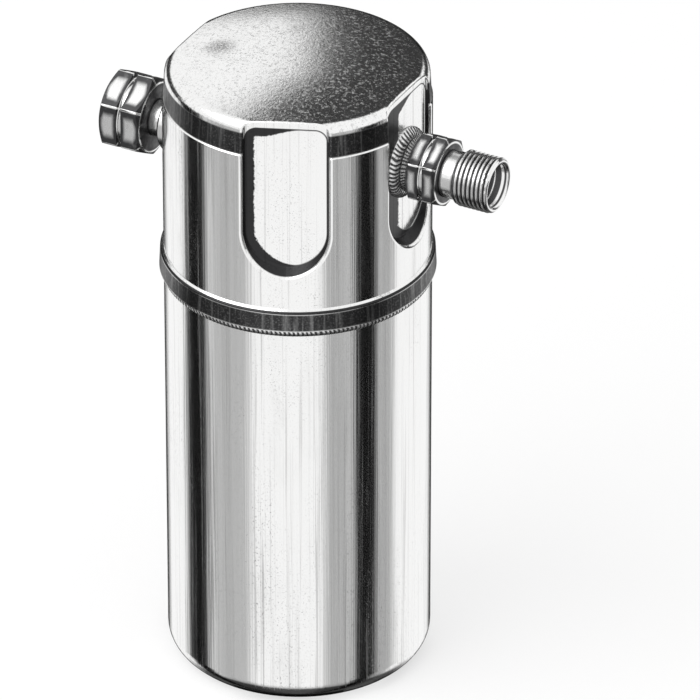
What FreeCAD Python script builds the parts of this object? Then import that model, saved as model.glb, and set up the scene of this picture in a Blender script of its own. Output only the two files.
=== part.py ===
"""A suction accumulator filter drier: a drawn aluminium can with two fittings, its tube, bags and strainer.

Millimetres, +Z up. The origin is the middle of the foot on the can's axis. The outlet points along +X,
the inlet along -X, and the third pressed flat looks out between them.
"""
import FreeCAD, Part

import math
import os
from types import SimpleNamespace

import Sketcher
from FreeCAD import Placement, Rotation, Vector

# Driving dimensions, each kept in the document's sheet under its own name
SIZES = {
    # drawn can
    "body_radius": 45.0,
    "body_height": 228.0,
    "wall": 2.0,
    "crown_radius": 270.0,
    "rim_radius": 4.4,
    "shoulder_drop": 15.4,
    "shoulder_step": 0.4,
    "neck_taper": 0.6,
    "base_corner_radius": 8.0,
    "foot_width": 7.0,
    "dish_slope_width": 6.0,
    "dish_depth": 1.2,
    "dish_round": 3.0,
    # lap joint
    "cap_depth": 79.3,
    "bell_length": 7.9,
    "bell_flare": 0.35,
    "lap_neck": 0.9,
    "lap_clearance": 0.05,
    "girth_weld_leg": 1.6,
    # pressed flats
    "flat_depth": 4.4,
    "flat_half_width": 13.6,
    "flat_length": 57.5,
    "flat_wall_angle": 32.0,
    "flat_edge_radius": 1.0,
    "front_flat_angle": -67.0,
    # both fittings
    "outlet_drop": 30.0,
    "inlet_drop": 38.0,
    "pilot_clearance": 0.05,
    "weld_width": 3.0,
    "weld_rise": 2.4,
    "weld_face_radius": 3.4,
    # outlet fitting, lengths measured out from its flat
    "outlet_pilot_radius": 8.0,
    "outlet_pilot_length": 4.1,
    "outlet_collar_radius": 9.2,
    "outlet_collar_length": 3.1,
    "outlet_ring_radius": 9.7,
    "outlet_ring_length": 2.3,
    "outlet_hex_flats": 22.2,
    "outlet_hex_length": 10.8,
    "outlet_neck_radius": 8.1,
    "outlet_neck_length": 5.1,
    "outlet_thread_radius": 9.525,
    "outlet_thread_length": 13.2,
    "outlet_thread_chamfer": 0.9,
    "outlet_bore_radius": 5.75,
    "outlet_mouth_radius": 7.4,
    "outlet_mouth_depth": 7.0,
    "outlet_mouth_chamfer": 0.8,
    # inlet tube, lengths measured out from its flat
    "inlet_pilot_radius": 8.0,
    "inlet_pilot_length": 4.0,
    "inlet_collar_radius": 9.85,
    "inlet_collar_length": 8.1,
    "inlet_collar_chamfer": 0.8,
    "inlet_neck_radius": 6.35,
    "inlet_neck_length": 9.2,
    "inlet_bead_radius": 8.4,
    "inlet_bead_length": 2.2,
    "inlet_nose_radius": 6.35,
    "inlet_nose_length": 7.6,
    "inlet_nose_chamfer": 0.7,
    "inlet_bore_radius": 4.85,
    "seal_seat_radius": 6.0,
    "seal_seat_length": 2.0,
    "seal_section_radius": 0.89,
    "seal_clearance": 0.02,
    # swivel nut
    "nut_flats": 25.4,
    "nut_length": 15.5,
    "nut_gap": 4.9,
    "nut_thread_radius": 8.77,
    "nut_thread_chamfer": 0.9,
    "nut_running_clearance": 0.08,
    # turned details that both hexes share
    "hex_groove_width": 1.8,
    "hex_groove_depth": 0.6,
    "hex_chamfer_inset": 0.5,
    # suction tube
    "tube_radius": 6.35,
    "tube_wall": 1.2,
    "tube_socket_depth": 6.0,
    "tube_socket_clearance": 0.03,
    "tube_leg_offset": 16.0,
    "tube_top_bend": 18.0,
    "tube_bend_height": 38.0,
    "tube_mouth_drop": 8.0,
    "bleed_hole_radius": 0.6,
    "braze_leg": 1.2,
    # baffle and grommet
    "baffle_thickness": 1.0,
    "baffle_gap": 0.1,
    "baffle_skirt_clearance": 0.5,
    "baffle_skirt_rise": 4.0,
    "baffle_cone_width": 14.7,
    "baffle_cone_rise": 8.0,
    "baffle_bend_radius": 2.0,
    "window_inset": 7.2,
    "window_radius": 3.2,
    "window_count": 12,
    "grommet_hole_radius": 8.0,
    "grommet_flange_radius": 9.6,
    "grommet_flange_height": 1.8,
    # strainer
    "strainer_radius": 8.0,
    "strainer_wrap": 2.5,
    "strainer_clearance": 0.1,
    "strainer_head": 3.4,
    "strainer_drain_radius": 2.5,
    "screen_radius": 6.8,
    "screen_thickness": 0.35,
    "cup_floor": 1.6,
    "cup_rim_height": 1.2,
    "post_radius": 0.9,
    "post_circle_radius": 5.3,
    "post_count": 6,
    # desiccant
    "soft_clearance": 0.3,
    "bag_half_width": 24.0,
    "bag_thickness": 19.5,
    "bag_foot_height": 23.0,
    "bag_length": 91.0,
    "bag_edge_radius": 7.0,
    "bag_seam_length": 5.0,
    "bag_seam_thickness": 1.6,
    "saddle_thickness": 2.0,
    "saddle_half_angle": 70.0,
    "tie_rise": 43.0,
    "tie_width": 4.8,
    "tie_thickness": 1.2,
    "tie_head_size": 7.0,
    "tie_head_depth": 4.5,
}

# Lengths that only make a cutter run past what it cuts
OVERRUN = 1.0
HEX_SIDES = 6
FULL_TURN = 360.0
HEX_CHAMFER_ANGLE = 30.0
# A fillet bead's face radius for each millimetre of its leg
WELD_BULGE = 1.3

doc = FreeCAD.newDocument("FilterDrier")


class Size:
    """A number with the sheet expression that gives it, so that each relation is written once."""

    def __init__(self, value, text):
        self.value = value
        self.text = text

    def __add__(self, other):
        other = as_size(other)
        return Size(self.value + other.value, f"({self.text} + {other.text})")

    def __sub__(self, other):
        other = as_size(other)
        return Size(self.value - other.value, f"({self.text} - {other.text})")

    def __mul__(self, other):
        other = as_size(other)
        return Size(self.value * other.value, f"({self.text} * {other.text})")

    def __truediv__(self, other):
        other = as_size(other)
        return Size(self.value / other.value, f"({self.text} / {other.text})")

    def __neg__(self):
        return Size(-self.value, f"(0 - {self.text})")


def as_size(number):
    """Gives a plain number the form of a Size."""
    return number if isinstance(number, Size) else Size(float(number), repr(float(number)))


def root(size):
    """The square root of a size."""
    return Size(math.sqrt(size.value), f"sqrt({size.text})")


def sine(angle):
    """The sine of an angle in degrees."""
    return Size(math.sin(math.radians(angle.value)), f"sin({angle.text} * 1 deg)")


def cosine(angle):
    """The cosine of an angle in degrees."""
    return Size(math.cos(math.radians(angle.value)), f"cos({angle.text} * 1 deg)")


def fill_sheet():
    """Writes the driving dimensions into the sheet and returns them as named sizes."""
    sheet = doc.addObject("Spreadsheet::Sheet", "Sizes")
    named = SimpleNamespace()
    for row, (alias, number) in enumerate(SIZES.items(), start=1):
        sheet.set(f"A{row}", alias)
        sheet.set(f"B{row}", str(number))
        sheet.setAlias(f"B{row}", alias)
        setattr(named, alias, Size(float(number), f"Sizes.{alias}"))
    doc.recompute()
    return named


size = fill_sheet()
ZERO = as_size(0)


def bind(item, prop, value):
    """Ties a property to the sheet."""
    item.setExpression(prop, as_size(value).text)


class Outline:
    """A closed outline in a sketch, with every corner and radius tied to the sheet."""

    def __init__(self, sketch, x, y):
        self.sketch = sketch
        self.corners = [(as_size(x), as_size(y))]
        self.bends = []

    def line(self, x, y):
        """Adds a straight edge."""
        self.corners.append((as_size(x), as_size(y)))
        self.bends.append(None)
        return self

    def arc(self, x, y, radius, left=True):
        """Adds an arc of under half a turn, curving to the left or the right of its path."""
        self.corners.append((as_size(x), as_size(y)))
        self.bends.append((as_size(radius), left))
        return self

    def close(self, radius=None, left=True):
        """Draws the outline back to its first corner, straight or as an arc."""
        self.bends.append(None if radius is None else (as_size(radius), left))
        return self.draw()

    def draw(self):
        """Draws the edges, joined and tied. Without close() they make an open path."""
        corners = self.corners
        points = [Vector(x.value, y.value, 0) for x, y in corners]
        edges = []
        for index, bend in enumerate(self.bends):
            edges.append(self._edge(points[index], points[(index + 1) % len(points)], bend))
        closed = len(self.bends) == len(corners)
        for index, (number, _, last) in enumerate(edges):
            if index + 1 < len(edges) or closed:
                following, first, _ = edges[(index + 1) % len(edges)]
                self.sketch.addConstraint(Sketcher.Constraint("Coincident", number, last, following, first))
        for index in range(len(corners)):
            number, first, _ = edges[index] if index < len(edges) else (edges[-1][0], edges[-1][2], None)
            self._tie_corner(index, number, first, edges)
        return self.sketch

    def _edge(self, start, end, bend):
        """Adds one edge and returns its number with the point numbers of its start and end."""
        if bend is None:
            return self.sketch.addGeometry(Part.LineSegment(start, end), False), 1, 2
        radius, left = bend
        chord = end - start
        to_centre = Vector(-chord.y, chord.x, 0).normalize() * (1 if left else -1)
        sagitta_gap = math.sqrt(max(radius.value ** 2 - (chord.Length / 2) ** 2, 0))
        centre = (start + end) * 0.5 + to_centre * sagitta_gap
        circle = Part.Circle(centre, Vector(0, 0, 1), radius.value)
        first, last = (start, end) if left else (end, start)
        arc = Part.ArcOfCircle(circle, circle.parameter(first), circle.parameter(last))
        number = self.sketch.addGeometry(arc, False)
        rule = self.sketch.addConstraint(Sketcher.Constraint("Radius", number, radius.value))
        self.sketch.setExpression(f"Constraints[{rule}]", radius.text)
        return (number, 1, 2) if left else (number, 2, 1)

    def _tie_corner(self, index, number, point, edges):
        """Sets a corner level or upright with the one before where they share a size, or measures it."""
        x, y = self.corners[index]
        straight = index > 0 and self.bends[index - 1] is None
        before_x, before_y = self.corners[index - 1] if straight else (None, None)
        if straight and before_x.text == x.text:
            self.sketch.addConstraint(Sketcher.Constraint("Vertical", edges[index - 1][0]))
        else:
            place_point(self.sketch, "DistanceX", -2, number, point, x)
        if straight and before_y.text == y.text:
            self.sketch.addConstraint(Sketcher.Constraint("Horizontal", edges[index - 1][0]))
        else:
            place_point(self.sketch, "DistanceY", -1, number, point, y)


def place_point(sketch, kind, axis, number, point, distance):
    """Holds a sketch point at a distance from the origin, or on the axis where that is nought."""
    if distance.value == 0:
        sketch.addConstraint(Sketcher.Constraint("PointOnObject", number, point, axis))
        return
    if distance.value > 0:
        rule = Sketcher.Constraint(kind, -1, 1, number, point, distance.value)
        text = distance.text
    else:
        rule = Sketcher.Constraint(kind, number, point, -1, 1, -distance.value)
        text = (-distance).text
    index = sketch.addConstraint(rule)
    sketch.setExpression(f"Constraints[{index}]", text)


def add_circle(sketch, x, y, radius):
    """Draws a circle with its centre and radius tied to the sheet."""
    x, y, radius = as_size(x), as_size(y), as_size(radius)
    centre = Vector(x.value, y.value, 0)
    number = sketch.addGeometry(Part.Circle(centre, Vector(0, 0, 1), radius.value), False)
    place_point(sketch, "DistanceX", -2, number, 3, x)
    place_point(sketch, "DistanceY", -1, number, 3, y)
    rule = sketch.addConstraint(Sketcher.Constraint("Radius", number, radius.value))
    sketch.setExpression(f"Constraints[{rule}]", radius.text)
    return sketch


def add_hexagon(sketch, across_flats):
    """Draws a regular hexagon about the origin with one corner on the sketch's X axis."""
    reach = across_flats / root(as_size(3))
    corners = []
    for side in range(HEX_SIDES):
        turn = math.radians(side * FULL_TURN / HEX_SIDES)
        corners.append(Vector(math.cos(turn), math.sin(turn), 0) * reach.value)
    circle = sketch.addGeometry(Part.Circle(Vector(), Vector(0, 0, 1), reach.value), True)
    sketch.addConstraint(Sketcher.Constraint("Coincident", circle, 3, -1, 1))
    rule = sketch.addConstraint(Sketcher.Constraint("Radius", circle, reach.value))
    sketch.setExpression(f"Constraints[{rule}]", reach.text)
    sides = []
    for index in range(HEX_SIDES):
        side = Part.LineSegment(corners[index - 1], corners[index])
        sides.append(sketch.addGeometry(side, False))
    for index, side in enumerate(sides):
        sketch.addConstraint(Sketcher.Constraint("Coincident", side, 2, sides[(index + 1) % HEX_SIDES], 1))
        sketch.addConstraint(Sketcher.Constraint("PointOnObject", side, 2, circle))
        if index:
            sketch.addConstraint(Sketcher.Constraint("Equal", sides[0], side))
    sketch.addConstraint(Sketcher.Constraint("PointOnObject", sides[0], 2, -1))
    return sketch


# Bodies, sketches and features


def new_body(name):
    """Adds an empty body."""
    body = doc.addObject("PartDesign::Body", name)
    body.Label = name
    return body


def origin_plane(body, role):
    """Finds a body's own origin plane or axis."""
    return next(item for item in body.Origin.OriginFeatures if item.Role == role)


def new_sketch(body, name, role="XZ_Plane"):
    """Adds a sketch to one of the body's own origin planes."""
    sketch = body.newObject("Sketcher::SketchObject", name)
    sketch.AttachmentSupport = (origin_plane(body, role), [""])
    sketch.MapMode = "FlatFace"
    return sketch


def raised_sketch(body, name, height, role="XY_Plane"):
    """Adds a sketch to a plane at a tied distance from an origin plane."""
    sketch = new_sketch(body, name, role)
    bind(sketch, "AttachmentOffset.Base.z", height)
    return sketch


def revolve(body, name, sketch, kind="PartDesign::Revolution"):
    """Turns a sketch right round the body's Z axis, to add or to cut."""
    feature = body.newObject(kind, name)
    feature.Profile = sketch
    feature.ReferenceAxis = (sketch, ["V_Axis"])
    feature.Angle = FULL_TURN
    sketch.Visibility = False
    doc.recompute()
    return feature


def groove(body, name, sketch):
    """Turns a sketch right round the body's Z axis and cuts it away."""
    return revolve(body, name, sketch, "PartDesign::Groove")


def pad(body, name, sketch, length, midplane=False):
    """Raises a sketch by a tied length."""
    feature = body.newObject("PartDesign::Pad", name)
    feature.Profile = sketch
    feature.Midplane = midplane
    bind(feature, "Length", length)
    doc.recompute()
    return feature


def pocket(body, name, sketch, length, outward=False, taper=None):
    """Cuts a sketch by a tied length, back from its face or out along it."""
    feature = body.newObject("PartDesign::Pocket", name)
    feature.Profile = sketch
    feature.Reversed = outward
    bind(feature, "Length", length)
    if taper is not None:
        bind(feature, "TaperAngle", taper)
    doc.recompute()
    return feature


def round_edges(body, name, feature, edges, radius):
    """Fillets the named edges of a feature."""
    fillet = body.newObject("PartDesign::Fillet", name)
    fillet.Base = (feature, edges)
    bind(fillet, "Radius", radius)
    doc.recompute()
    return fillet


def edges_where(feature, test):
    """Names the edges whose middle and ends all pass the test."""
    found = []
    for number, edge in enumerate(feature.Shape.Edges, start=1):
        middle = edge.valueAt((edge.FirstParameter + edge.LastParameter) / 2)
        if all(test(point) for point in [middle] + [vertex.Point for vertex in edge.Vertexes]):
            found.append(f"Edge{number}")
    return found


def circles_at(feature, height, radius):
    """Names the circular edges at a height and radius about the Z axis."""
    slack = 0.01
    return edges_where(
        feature,
        lambda p: abs(p.z - height.value) < slack and abs(math.hypot(p.x, p.y) - radius.value) < slack,
    )


def ring_pattern(body, name, feature, count):
    """Repeats a feature evenly round the body's Z axis."""
    pattern = body.newObject("PartDesign::PolarPattern", name)
    pattern.Originals = [feature]
    pattern.Axis = (origin_plane(body, "Z_Axis"), [""])
    pattern.Angle = FULL_TURN
    bind(pattern, "Occurrences", count)
    body.Tip = pattern
    doc.recompute()
    return pattern


def lay_along_x(body, height, outward=True):
    """Lays a body that was turned about Z along +X or -X, with its axis at a tied height."""
    body.Placement = Placement(Vector(), Rotation(Vector(0, 1, 0), 90 if outward else -90))
    bind(body, "Placement.Base.z", height)


# Places that several pieces share

FLAT_PLANE = size.body_radius - size.flat_depth
SHOULDER = size.body_height - size.shoulder_drop
FLAT_FOOT = size.body_height - size.flat_length
OUTLET_HEIGHT = size.body_height - size.outlet_drop
INLET_HEIGHT = size.body_height - size.inlet_drop
BELL_EDGE = size.body_height - size.cap_depth
BELL_TOP = BELL_EDGE + size.bell_length
SHELL_BORE = size.body_radius - size.wall
LAP_RADIUS = size.body_radius - size.lap_neck
LAP_FOOT = BELL_EDGE - size.girth_weld_leg
WALL_END = LAP_FOOT - size.lap_neck
BELL_BORE = LAP_RADIUS + size.lap_clearance
JOGGLE = BELL_BORE - SHELL_BORE
# The bell steps out at 45 degrees, and its wall stays as thick there as elsewhere
JOGGLE_CORNER = BELL_TOP - (root(as_size(2)) - 1) * size.wall
JOGGLE_SEAT = JOGGLE_CORNER - JOGGLE
BAFFLE_FLANGE_TOP = JOGGLE_SEAT - size.baffle_gap
LOWER_SHELL_TOP = BAFFLE_FLANGE_TOP - size.baffle_thickness

OUTLET_COLLAR_END = FLAT_PLANE + size.outlet_collar_length
OUTLET_HEX_START = OUTLET_COLLAR_END + size.outlet_ring_length
OUTLET_HEX_END = OUTLET_HEX_START + size.outlet_hex_length
OUTLET_THREAD_START = OUTLET_HEX_END + size.outlet_neck_length
OUTLET_END = OUTLET_THREAD_START + size.outlet_thread_length
OUTLET_INNER_END = FLAT_PLANE - size.outlet_pilot_length

INLET_COLLAR_END = FLAT_PLANE + size.inlet_collar_length
INLET_BEAD_START = INLET_COLLAR_END + size.inlet_neck_length
INLET_BEAD_END = INLET_BEAD_START + size.inlet_bead_length
SEAL_SEAT_END = INLET_BEAD_END + size.seal_seat_length
INLET_END = INLET_BEAD_END + size.inlet_nose_length
NUT_START = INLET_COLLAR_END + size.nut_gap
NUT_END = NUT_START + size.nut_length
NUT_SHOULDER = INLET_BEAD_START - size.nut_running_clearance

FOOT_RADIUS = size.body_radius - size.base_corner_radius - size.foot_width
DISH_RADIUS = FOOT_RADIUS - size.dish_slope_width
CAN_FLOOR = size.dish_depth + size.wall
BAFFLE_SKIRT = SHELL_BORE - size.baffle_skirt_clearance
BAFFLE_SKIRT_TOP = BAFFLE_FLANGE_TOP + size.baffle_skirt_rise
BAFFLE_TOP = BAFFLE_SKIRT_TOP + size.baffle_cone_rise
TUBE_MOUTH = BAFFLE_TOP - size.tube_mouth_drop
TIE_FOOT = size.bag_foot_height + size.tie_rise
TUBE_BOTTOM = size.tube_bend_height - size.tube_leg_offset - size.tube_radius
STRAINER_HEAD_FOOT = TUBE_BOTTOM - size.strainer_head
CUP_FLOOR_TOP = CAN_FLOOR + size.cup_floor
BAG_FACE = size.tube_radius + size.soft_clearance

FLAT_ANGLES = {"outlet": ZERO, "front": size.front_flat_angle, "inlet": as_size(180)}


# Drawn shells


def pressed_cap(name, inset, foot, joggle_top, flare):
    """Builds the cap's form as a solid, standing in from the outside by the given thickness.

    The flare is how much wider the bell is at its edge than under the joggle.
    """
    body = new_body(name)
    radius = size.body_radius - inset
    bell = radius + JOGGLE
    neck = radius - size.shoulder_step
    rim = neck - size.neck_taper
    crown = size.crown_radius - inset
    top = size.body_height - inset
    corner = top - (crown - root(crown * crown - rim * rim))
    outline = Outline(new_sketch(body, f"{name}_section"), 0, foot)
    outline.line(bell + flare, foot)
    outline.line(bell, joggle_top - JOGGLE)
    outline.line(radius, joggle_top)
    outline.line(radius, SHOULDER)
    outline.line(neck, SHOULDER + size.shoulder_step)
    outline.line(rim, corner)
    outline.arc(0, top, crown)
    drawn = revolve(body, f"{name}_drawn", outline.close())
    round_edges(body, f"{name}_rim", drawn, circles_at(drawn, corner, rim), size.rim_radius - inset)
    for label, angle in FLAT_ANGLES.items():
        press_flat(body, f"{name}_{label}", angle, inset)
    return body


def flat_sketch(body, name, angle, plane):
    """Adds an upright sketch that faces out at an angle from +X, at a distance from the axis."""
    sketch = new_sketch(body, name)
    turn = angle + 90
    sketch.AttachmentOffset = Placement(Vector(), Rotation(Vector(0, 1, 0), turn.value))
    bind(sketch, "AttachmentOffset.Rotation.Angle", turn)
    bind(sketch, "AttachmentOffset.Base.x", plane * sine(turn))
    bind(sketch, "AttachmentOffset.Base.z", plane * cosine(turn))
    return sketch


def press_flat(body, name, angle, inset):
    """Presses one flat: a round-footed recess with sloped walls that runs out through the rim."""
    slope = size.flat_wall_angle
    spread = inset * (as_size(1) - sine(slope)) / cosine(slope)
    half_width = size.flat_half_width + spread
    foot = FLAT_FOOT - spread
    above = size.body_height + size.flat_half_width
    sketch = flat_sketch(body, f"{name}_outline", angle, FLAT_PLANE - inset)
    outline = Outline(sketch, half_width, foot + half_width)
    outline.line(half_width, above)
    outline.line(-half_width, above)
    outline.line(-half_width, foot + half_width)
    outline.arc(0, foot, half_width)
    outline.close(half_width)
    return pocket(body, f"{name}_flat", sketch, size.flat_depth * 2, outward=True, taper=slope)


def flat_edges(feature, angle):
    """Names the edges round a flat's floor and along its lip."""
    facing = Vector(math.cos(math.radians(angle.value)), math.sin(math.radians(angle.value)), 0)
    slack = 0.001
    shape = feature.Shape
    level = [face for face in shape.Faces if isinstance(face.Surface, Part.Plane)]
    floor = next(face for face in level if abs(face.CenterOfMass.dot(facing) - FLAT_PLANE.value) < slack)
    rim_start = size.body_height.value - size.rim_radius.value * 2
    walls = []
    for edge in floor.Edges:
        if edge.CenterOfMass.z < rim_start:
            walls += [face for face in shape.ancestorsOfType(edge, Part.Face) if not face.isSame(floor)]
    names = []
    for number, edge in enumerate(shape.Edges, start=1):
        beside = shape.ancestorsOfType(edge, Part.Face)
        on_floor = any(face.isSame(floor) for face in beside)
        on_walls = sum(any(face.isSame(wall) for wall in walls) for face in beside)
        if on_floor or on_walls == 1:
            names.append(f"Edge{number}")
    return names


def make_upper_shell():
    """Cuts the cap's inner form and the fittings' holes out of its outer form."""
    outer = pressed_cap("cap_outside", ZERO, BELL_EDGE, BELL_TOP, size.bell_flare)
    feature = outer.Tip
    for name, angle in FLAT_ANGLES.items():
        feature = round_edges(
            outer, f"cap_{name}_edges", feature, flat_edges(feature, angle), size.flat_edge_radius
        )
    for name, height, radius in (
        ("outlet", OUTLET_HEIGHT, size.outlet_pilot_radius),
        ("inlet", INLET_HEIGHT, size.inlet_pilot_radius),
    ):
        sketch = flat_sketch(outer, f"{name}_hole_circle", FLAT_ANGLES[name], FLAT_PLANE)
        add_circle(sketch, 0, height, radius + size.pilot_clearance)
        pocket(outer, f"{name}_hole", sketch, size.wall * 2)
    inner = pressed_cap("cap_inside", size.wall, BELL_EDGE - OVERRUN, JOGGLE_CORNER, ZERO)
    shell = doc.addObject("Part::Cut", "upper_shell")
    shell.Base = outer
    shell.Tool = inner
    return shell


def make_lower_shell():
    """Draws the cup: rounded base, dished floor and a plain wall up into the bell."""
    body = new_body("lower_shell")
    outside = size.body_radius
    corner = size.base_corner_radius
    outline = Outline(new_sketch(body, "cup_section"), 0, size.dish_depth)
    outline.line(DISH_RADIUS, size.dish_depth)
    outline.line(FOOT_RADIUS, 0)
    outline.line(outside - corner, 0)
    outline.arc(outside, corner, corner)
    outline.line(outside, WALL_END)
    outline.line(LAP_RADIUS, LAP_FOOT)
    outline.line(LAP_RADIUS, LOWER_SHELL_TOP)
    outline.line(SHELL_BORE, LOWER_SHELL_TOP)
    outline.line(SHELL_BORE, corner)
    outline.arc(outside - corner, size.wall, corner - size.wall, left=False)
    outline.line(FOOT_RADIUS, size.wall)
    outline.line(DISH_RADIUS, CAN_FLOOR)
    outline.line(0, CAN_FLOOR)
    drawn = revolve(body, "cup_drawn", outline.close())
    edges = circles_at(drawn, size.dish_depth, DISH_RADIUS)
    edges += circles_at(drawn, ZERO, FOOT_RADIUS)
    edges += circles_at(drawn, CAN_FLOOR, DISH_RADIUS)
    edges += circles_at(drawn, size.wall, FOOT_RADIUS)
    round_edges(body, "cup_dish_rounds", drawn, edges, size.dish_round)
    return body


def make_girth_weld():
    """Lays the fillet weld in the corner under the bell's edge."""
    body = new_body("girth_weld")
    leg = size.girth_weld_leg
    outline = Outline(new_sketch(body, "girth_weld_section"), LAP_RADIUS, LAP_FOOT)
    outline.line(size.body_radius, WALL_END)
    outline.arc(LAP_RADIUS + leg, BELL_EDGE, leg * WELD_BULGE)
    outline.line(LAP_RADIUS, BELL_EDGE)
    revolve(body, "girth_weld_bead", outline.close())
    return body


# Fittings, each turned about Z and then laid along X


def cut_hex_details(body, name, across_flats, start, end):
    """Turns both ends of a hex to a chamfer and cuts the groove round its middle."""
    inside = across_flats / 2 - size.hex_chamfer_inset
    outside = across_flats / root(as_size(3)) + OVERRUN
    drop = (outside - inside) * as_size(math.tan(math.radians(HEX_CHAMFER_ANGLE)))
    for label, face, inward in (("start", start, drop), ("end", end, -drop)):
        outline = Outline(new_sketch(body, f"{name}_{label}_chamfer_section"), inside, face)
        outline.line(outside, face)
        outline.line(outside, face + inward)
        groove(body, f"{name}_{label}_chamfer", outline.close())
    middle = (start + end) / 2
    half = size.hex_groove_width / 2
    bottom = across_flats / 2 - size.hex_groove_depth
    outline = Outline(new_sketch(body, f"{name}_groove_section"), bottom, middle - half)
    outline.line(outside, middle - half)
    outline.line(outside, middle + half)
    outline.line(bottom, middle + half)
    groove(body, f"{name}_groove", outline.close())


def make_outlet_fitting():
    """Turns the outlet from hex bar: pilot, collar, ring, hex, neck and male thread, bored through."""
    body = new_body("outlet_fitting")
    pilot = size.outlet_pilot_radius
    collar = size.outlet_collar_radius
    ring = size.outlet_ring_radius
    neck = size.outlet_neck_radius
    thread = size.outlet_thread_radius
    chamfer = size.outlet_thread_chamfer
    outline = Outline(new_sketch(body, "outlet_section"), 0, OUTLET_INNER_END)
    outline.line(pilot, OUTLET_INNER_END)
    outline.line(pilot, FLAT_PLANE)
    outline.line(collar, FLAT_PLANE)
    outline.line(collar, OUTLET_COLLAR_END)
    outline.line(ring, OUTLET_COLLAR_END)
    outline.line(ring, OUTLET_HEX_START)
    outline.line(neck, OUTLET_HEX_START)
    outline.line(neck, OUTLET_THREAD_START)
    outline.line(thread - chamfer, OUTLET_THREAD_START)
    outline.line(thread, OUTLET_THREAD_START + chamfer)
    outline.line(thread, OUTLET_END - chamfer)
    outline.line(thread - chamfer, OUTLET_END)
    outline.line(0, OUTLET_END)
    revolve(body, "outlet_blank", outline.close())
    hexagon = add_hexagon(raised_sketch(body, "outlet_hexagon", OUTLET_HEX_START), size.outlet_hex_flats)
    pad(body, "outlet_hex", hexagon, size.outlet_hex_length)
    cut_hex_details(body, "outlet_hex", size.outlet_hex_flats, OUTLET_HEX_START, OUTLET_HEX_END)
    socket = size.tube_radius + size.tube_socket_clearance
    socket_end = OUTLET_INNER_END + size.tube_socket_depth
    bore = size.outlet_bore_radius
    mouth = size.outlet_mouth_radius
    mouth_floor = OUTLET_END - size.outlet_mouth_depth
    lead = size.outlet_mouth_chamfer
    outline = Outline(new_sketch(body, "outlet_bore_section"), 0, OUTLET_INNER_END)
    outline.line(socket, OUTLET_INNER_END)
    outline.line(socket, socket_end)
    outline.line(bore, socket_end)
    outline.line(bore, mouth_floor - (mouth - bore))
    outline.line(mouth, mouth_floor)
    outline.line(mouth, OUTLET_END - lead)
    outline.line(mouth + lead, OUTLET_END)
    outline.line(0, OUTLET_END)
    groove(body, "outlet_bore", outline.close())
    lay_along_x(body, OUTLET_HEIGHT)
    return body


def make_collar_weld(name, collar, height, outward):
    """Lays the weld bead between a fitting's collar and its flat."""
    body = new_body(name)
    outline = Outline(new_sketch(body, f"{name}_section"), collar, FLAT_PLANE)
    outline.line(collar + size.weld_width, FLAT_PLANE)
    outline.arc(collar, FLAT_PLANE + size.weld_rise, size.weld_face_radius)
    revolve(body, f"{name}_bead", outline.close())
    lay_along_x(body, height, outward)
    return body


def make_inlet_tube():
    """Turns the inlet: pilot, collar, neck, upset bead and pilot nose, bored through."""
    body = new_body("inlet_tube")
    inner_end = FLAT_PLANE - size.inlet_pilot_length
    bore = size.inlet_bore_radius
    pilot = size.inlet_pilot_radius
    collar = size.inlet_collar_radius
    collar_chamfer = size.inlet_collar_chamfer
    neck = size.inlet_neck_radius
    bead = size.inlet_bead_radius
    nose = size.inlet_nose_radius
    nose_chamfer = size.inlet_nose_chamfer
    outline = Outline(new_sketch(body, "inlet_section"), bore, inner_end)
    outline.line(pilot, inner_end)
    outline.line(pilot, FLAT_PLANE)
    outline.line(collar, FLAT_PLANE)
    outline.line(collar, INLET_COLLAR_END - collar_chamfer)
    outline.line(collar - collar_chamfer, INLET_COLLAR_END)
    outline.line(neck, INLET_COLLAR_END)
    outline.line(neck, INLET_BEAD_START)
    outline.line(bead, INLET_BEAD_START)
    outline.line(bead, INLET_BEAD_END)
    outline.line(size.seal_seat_radius, INLET_BEAD_END)
    outline.line(size.seal_seat_radius, SEAL_SEAT_END)
    outline.line(nose, SEAL_SEAT_END)
    outline.line(nose, INLET_END - nose_chamfer)
    outline.line(nose - nose_chamfer, INLET_END)
    outline.line(bore, INLET_END)
    revolve(body, "inlet_turned", outline.close())
    lay_along_x(body, INLET_HEIGHT, outward=False)
    return body


def make_inlet_nut():
    """Makes the swivel nut: hex, turned chamfers and groove, neck hole and thread bore."""
    body = new_body("inlet_nut")
    hexagon = add_hexagon(raised_sketch(body, "nut_hexagon", NUT_START), size.nut_flats)
    pad(body, "nut_hex", hexagon, size.nut_length)
    cut_hex_details(body, "nut", size.nut_flats, NUT_START, NUT_END)
    hole = size.inlet_neck_radius + size.nut_running_clearance
    thread = size.nut_thread_radius
    lead = size.nut_thread_chamfer
    outline = Outline(new_sketch(body, "nut_bore_section"), 0, NUT_START)
    outline.line(hole, NUT_START)
    outline.line(hole, NUT_SHOULDER)
    outline.line(thread, NUT_SHOULDER)
    outline.line(thread, NUT_END - lead)
    outline.line(thread + lead, NUT_END)
    outline.line(0, NUT_END)
    groove(body, "nut_bore", outline.close())
    lay_along_x(body, INLET_HEIGHT, outward=False)
    return body


def make_inlet_seal():
    """Makes the O-ring that sits on the nose against the bead."""
    body = new_body("inlet_seal")
    section = size.seal_section_radius
    middle = size.seal_seat_radius + size.seal_clearance + section
    sketch = new_sketch(body, "seal_section")
    add_circle(sketch, middle, INLET_BEAD_END + size.seal_clearance + section, section)
    revolve(body, "seal_ring", sketch)
    lay_along_x(body, INLET_HEIGHT, outward=False)
    return body


# Inside the can


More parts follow.
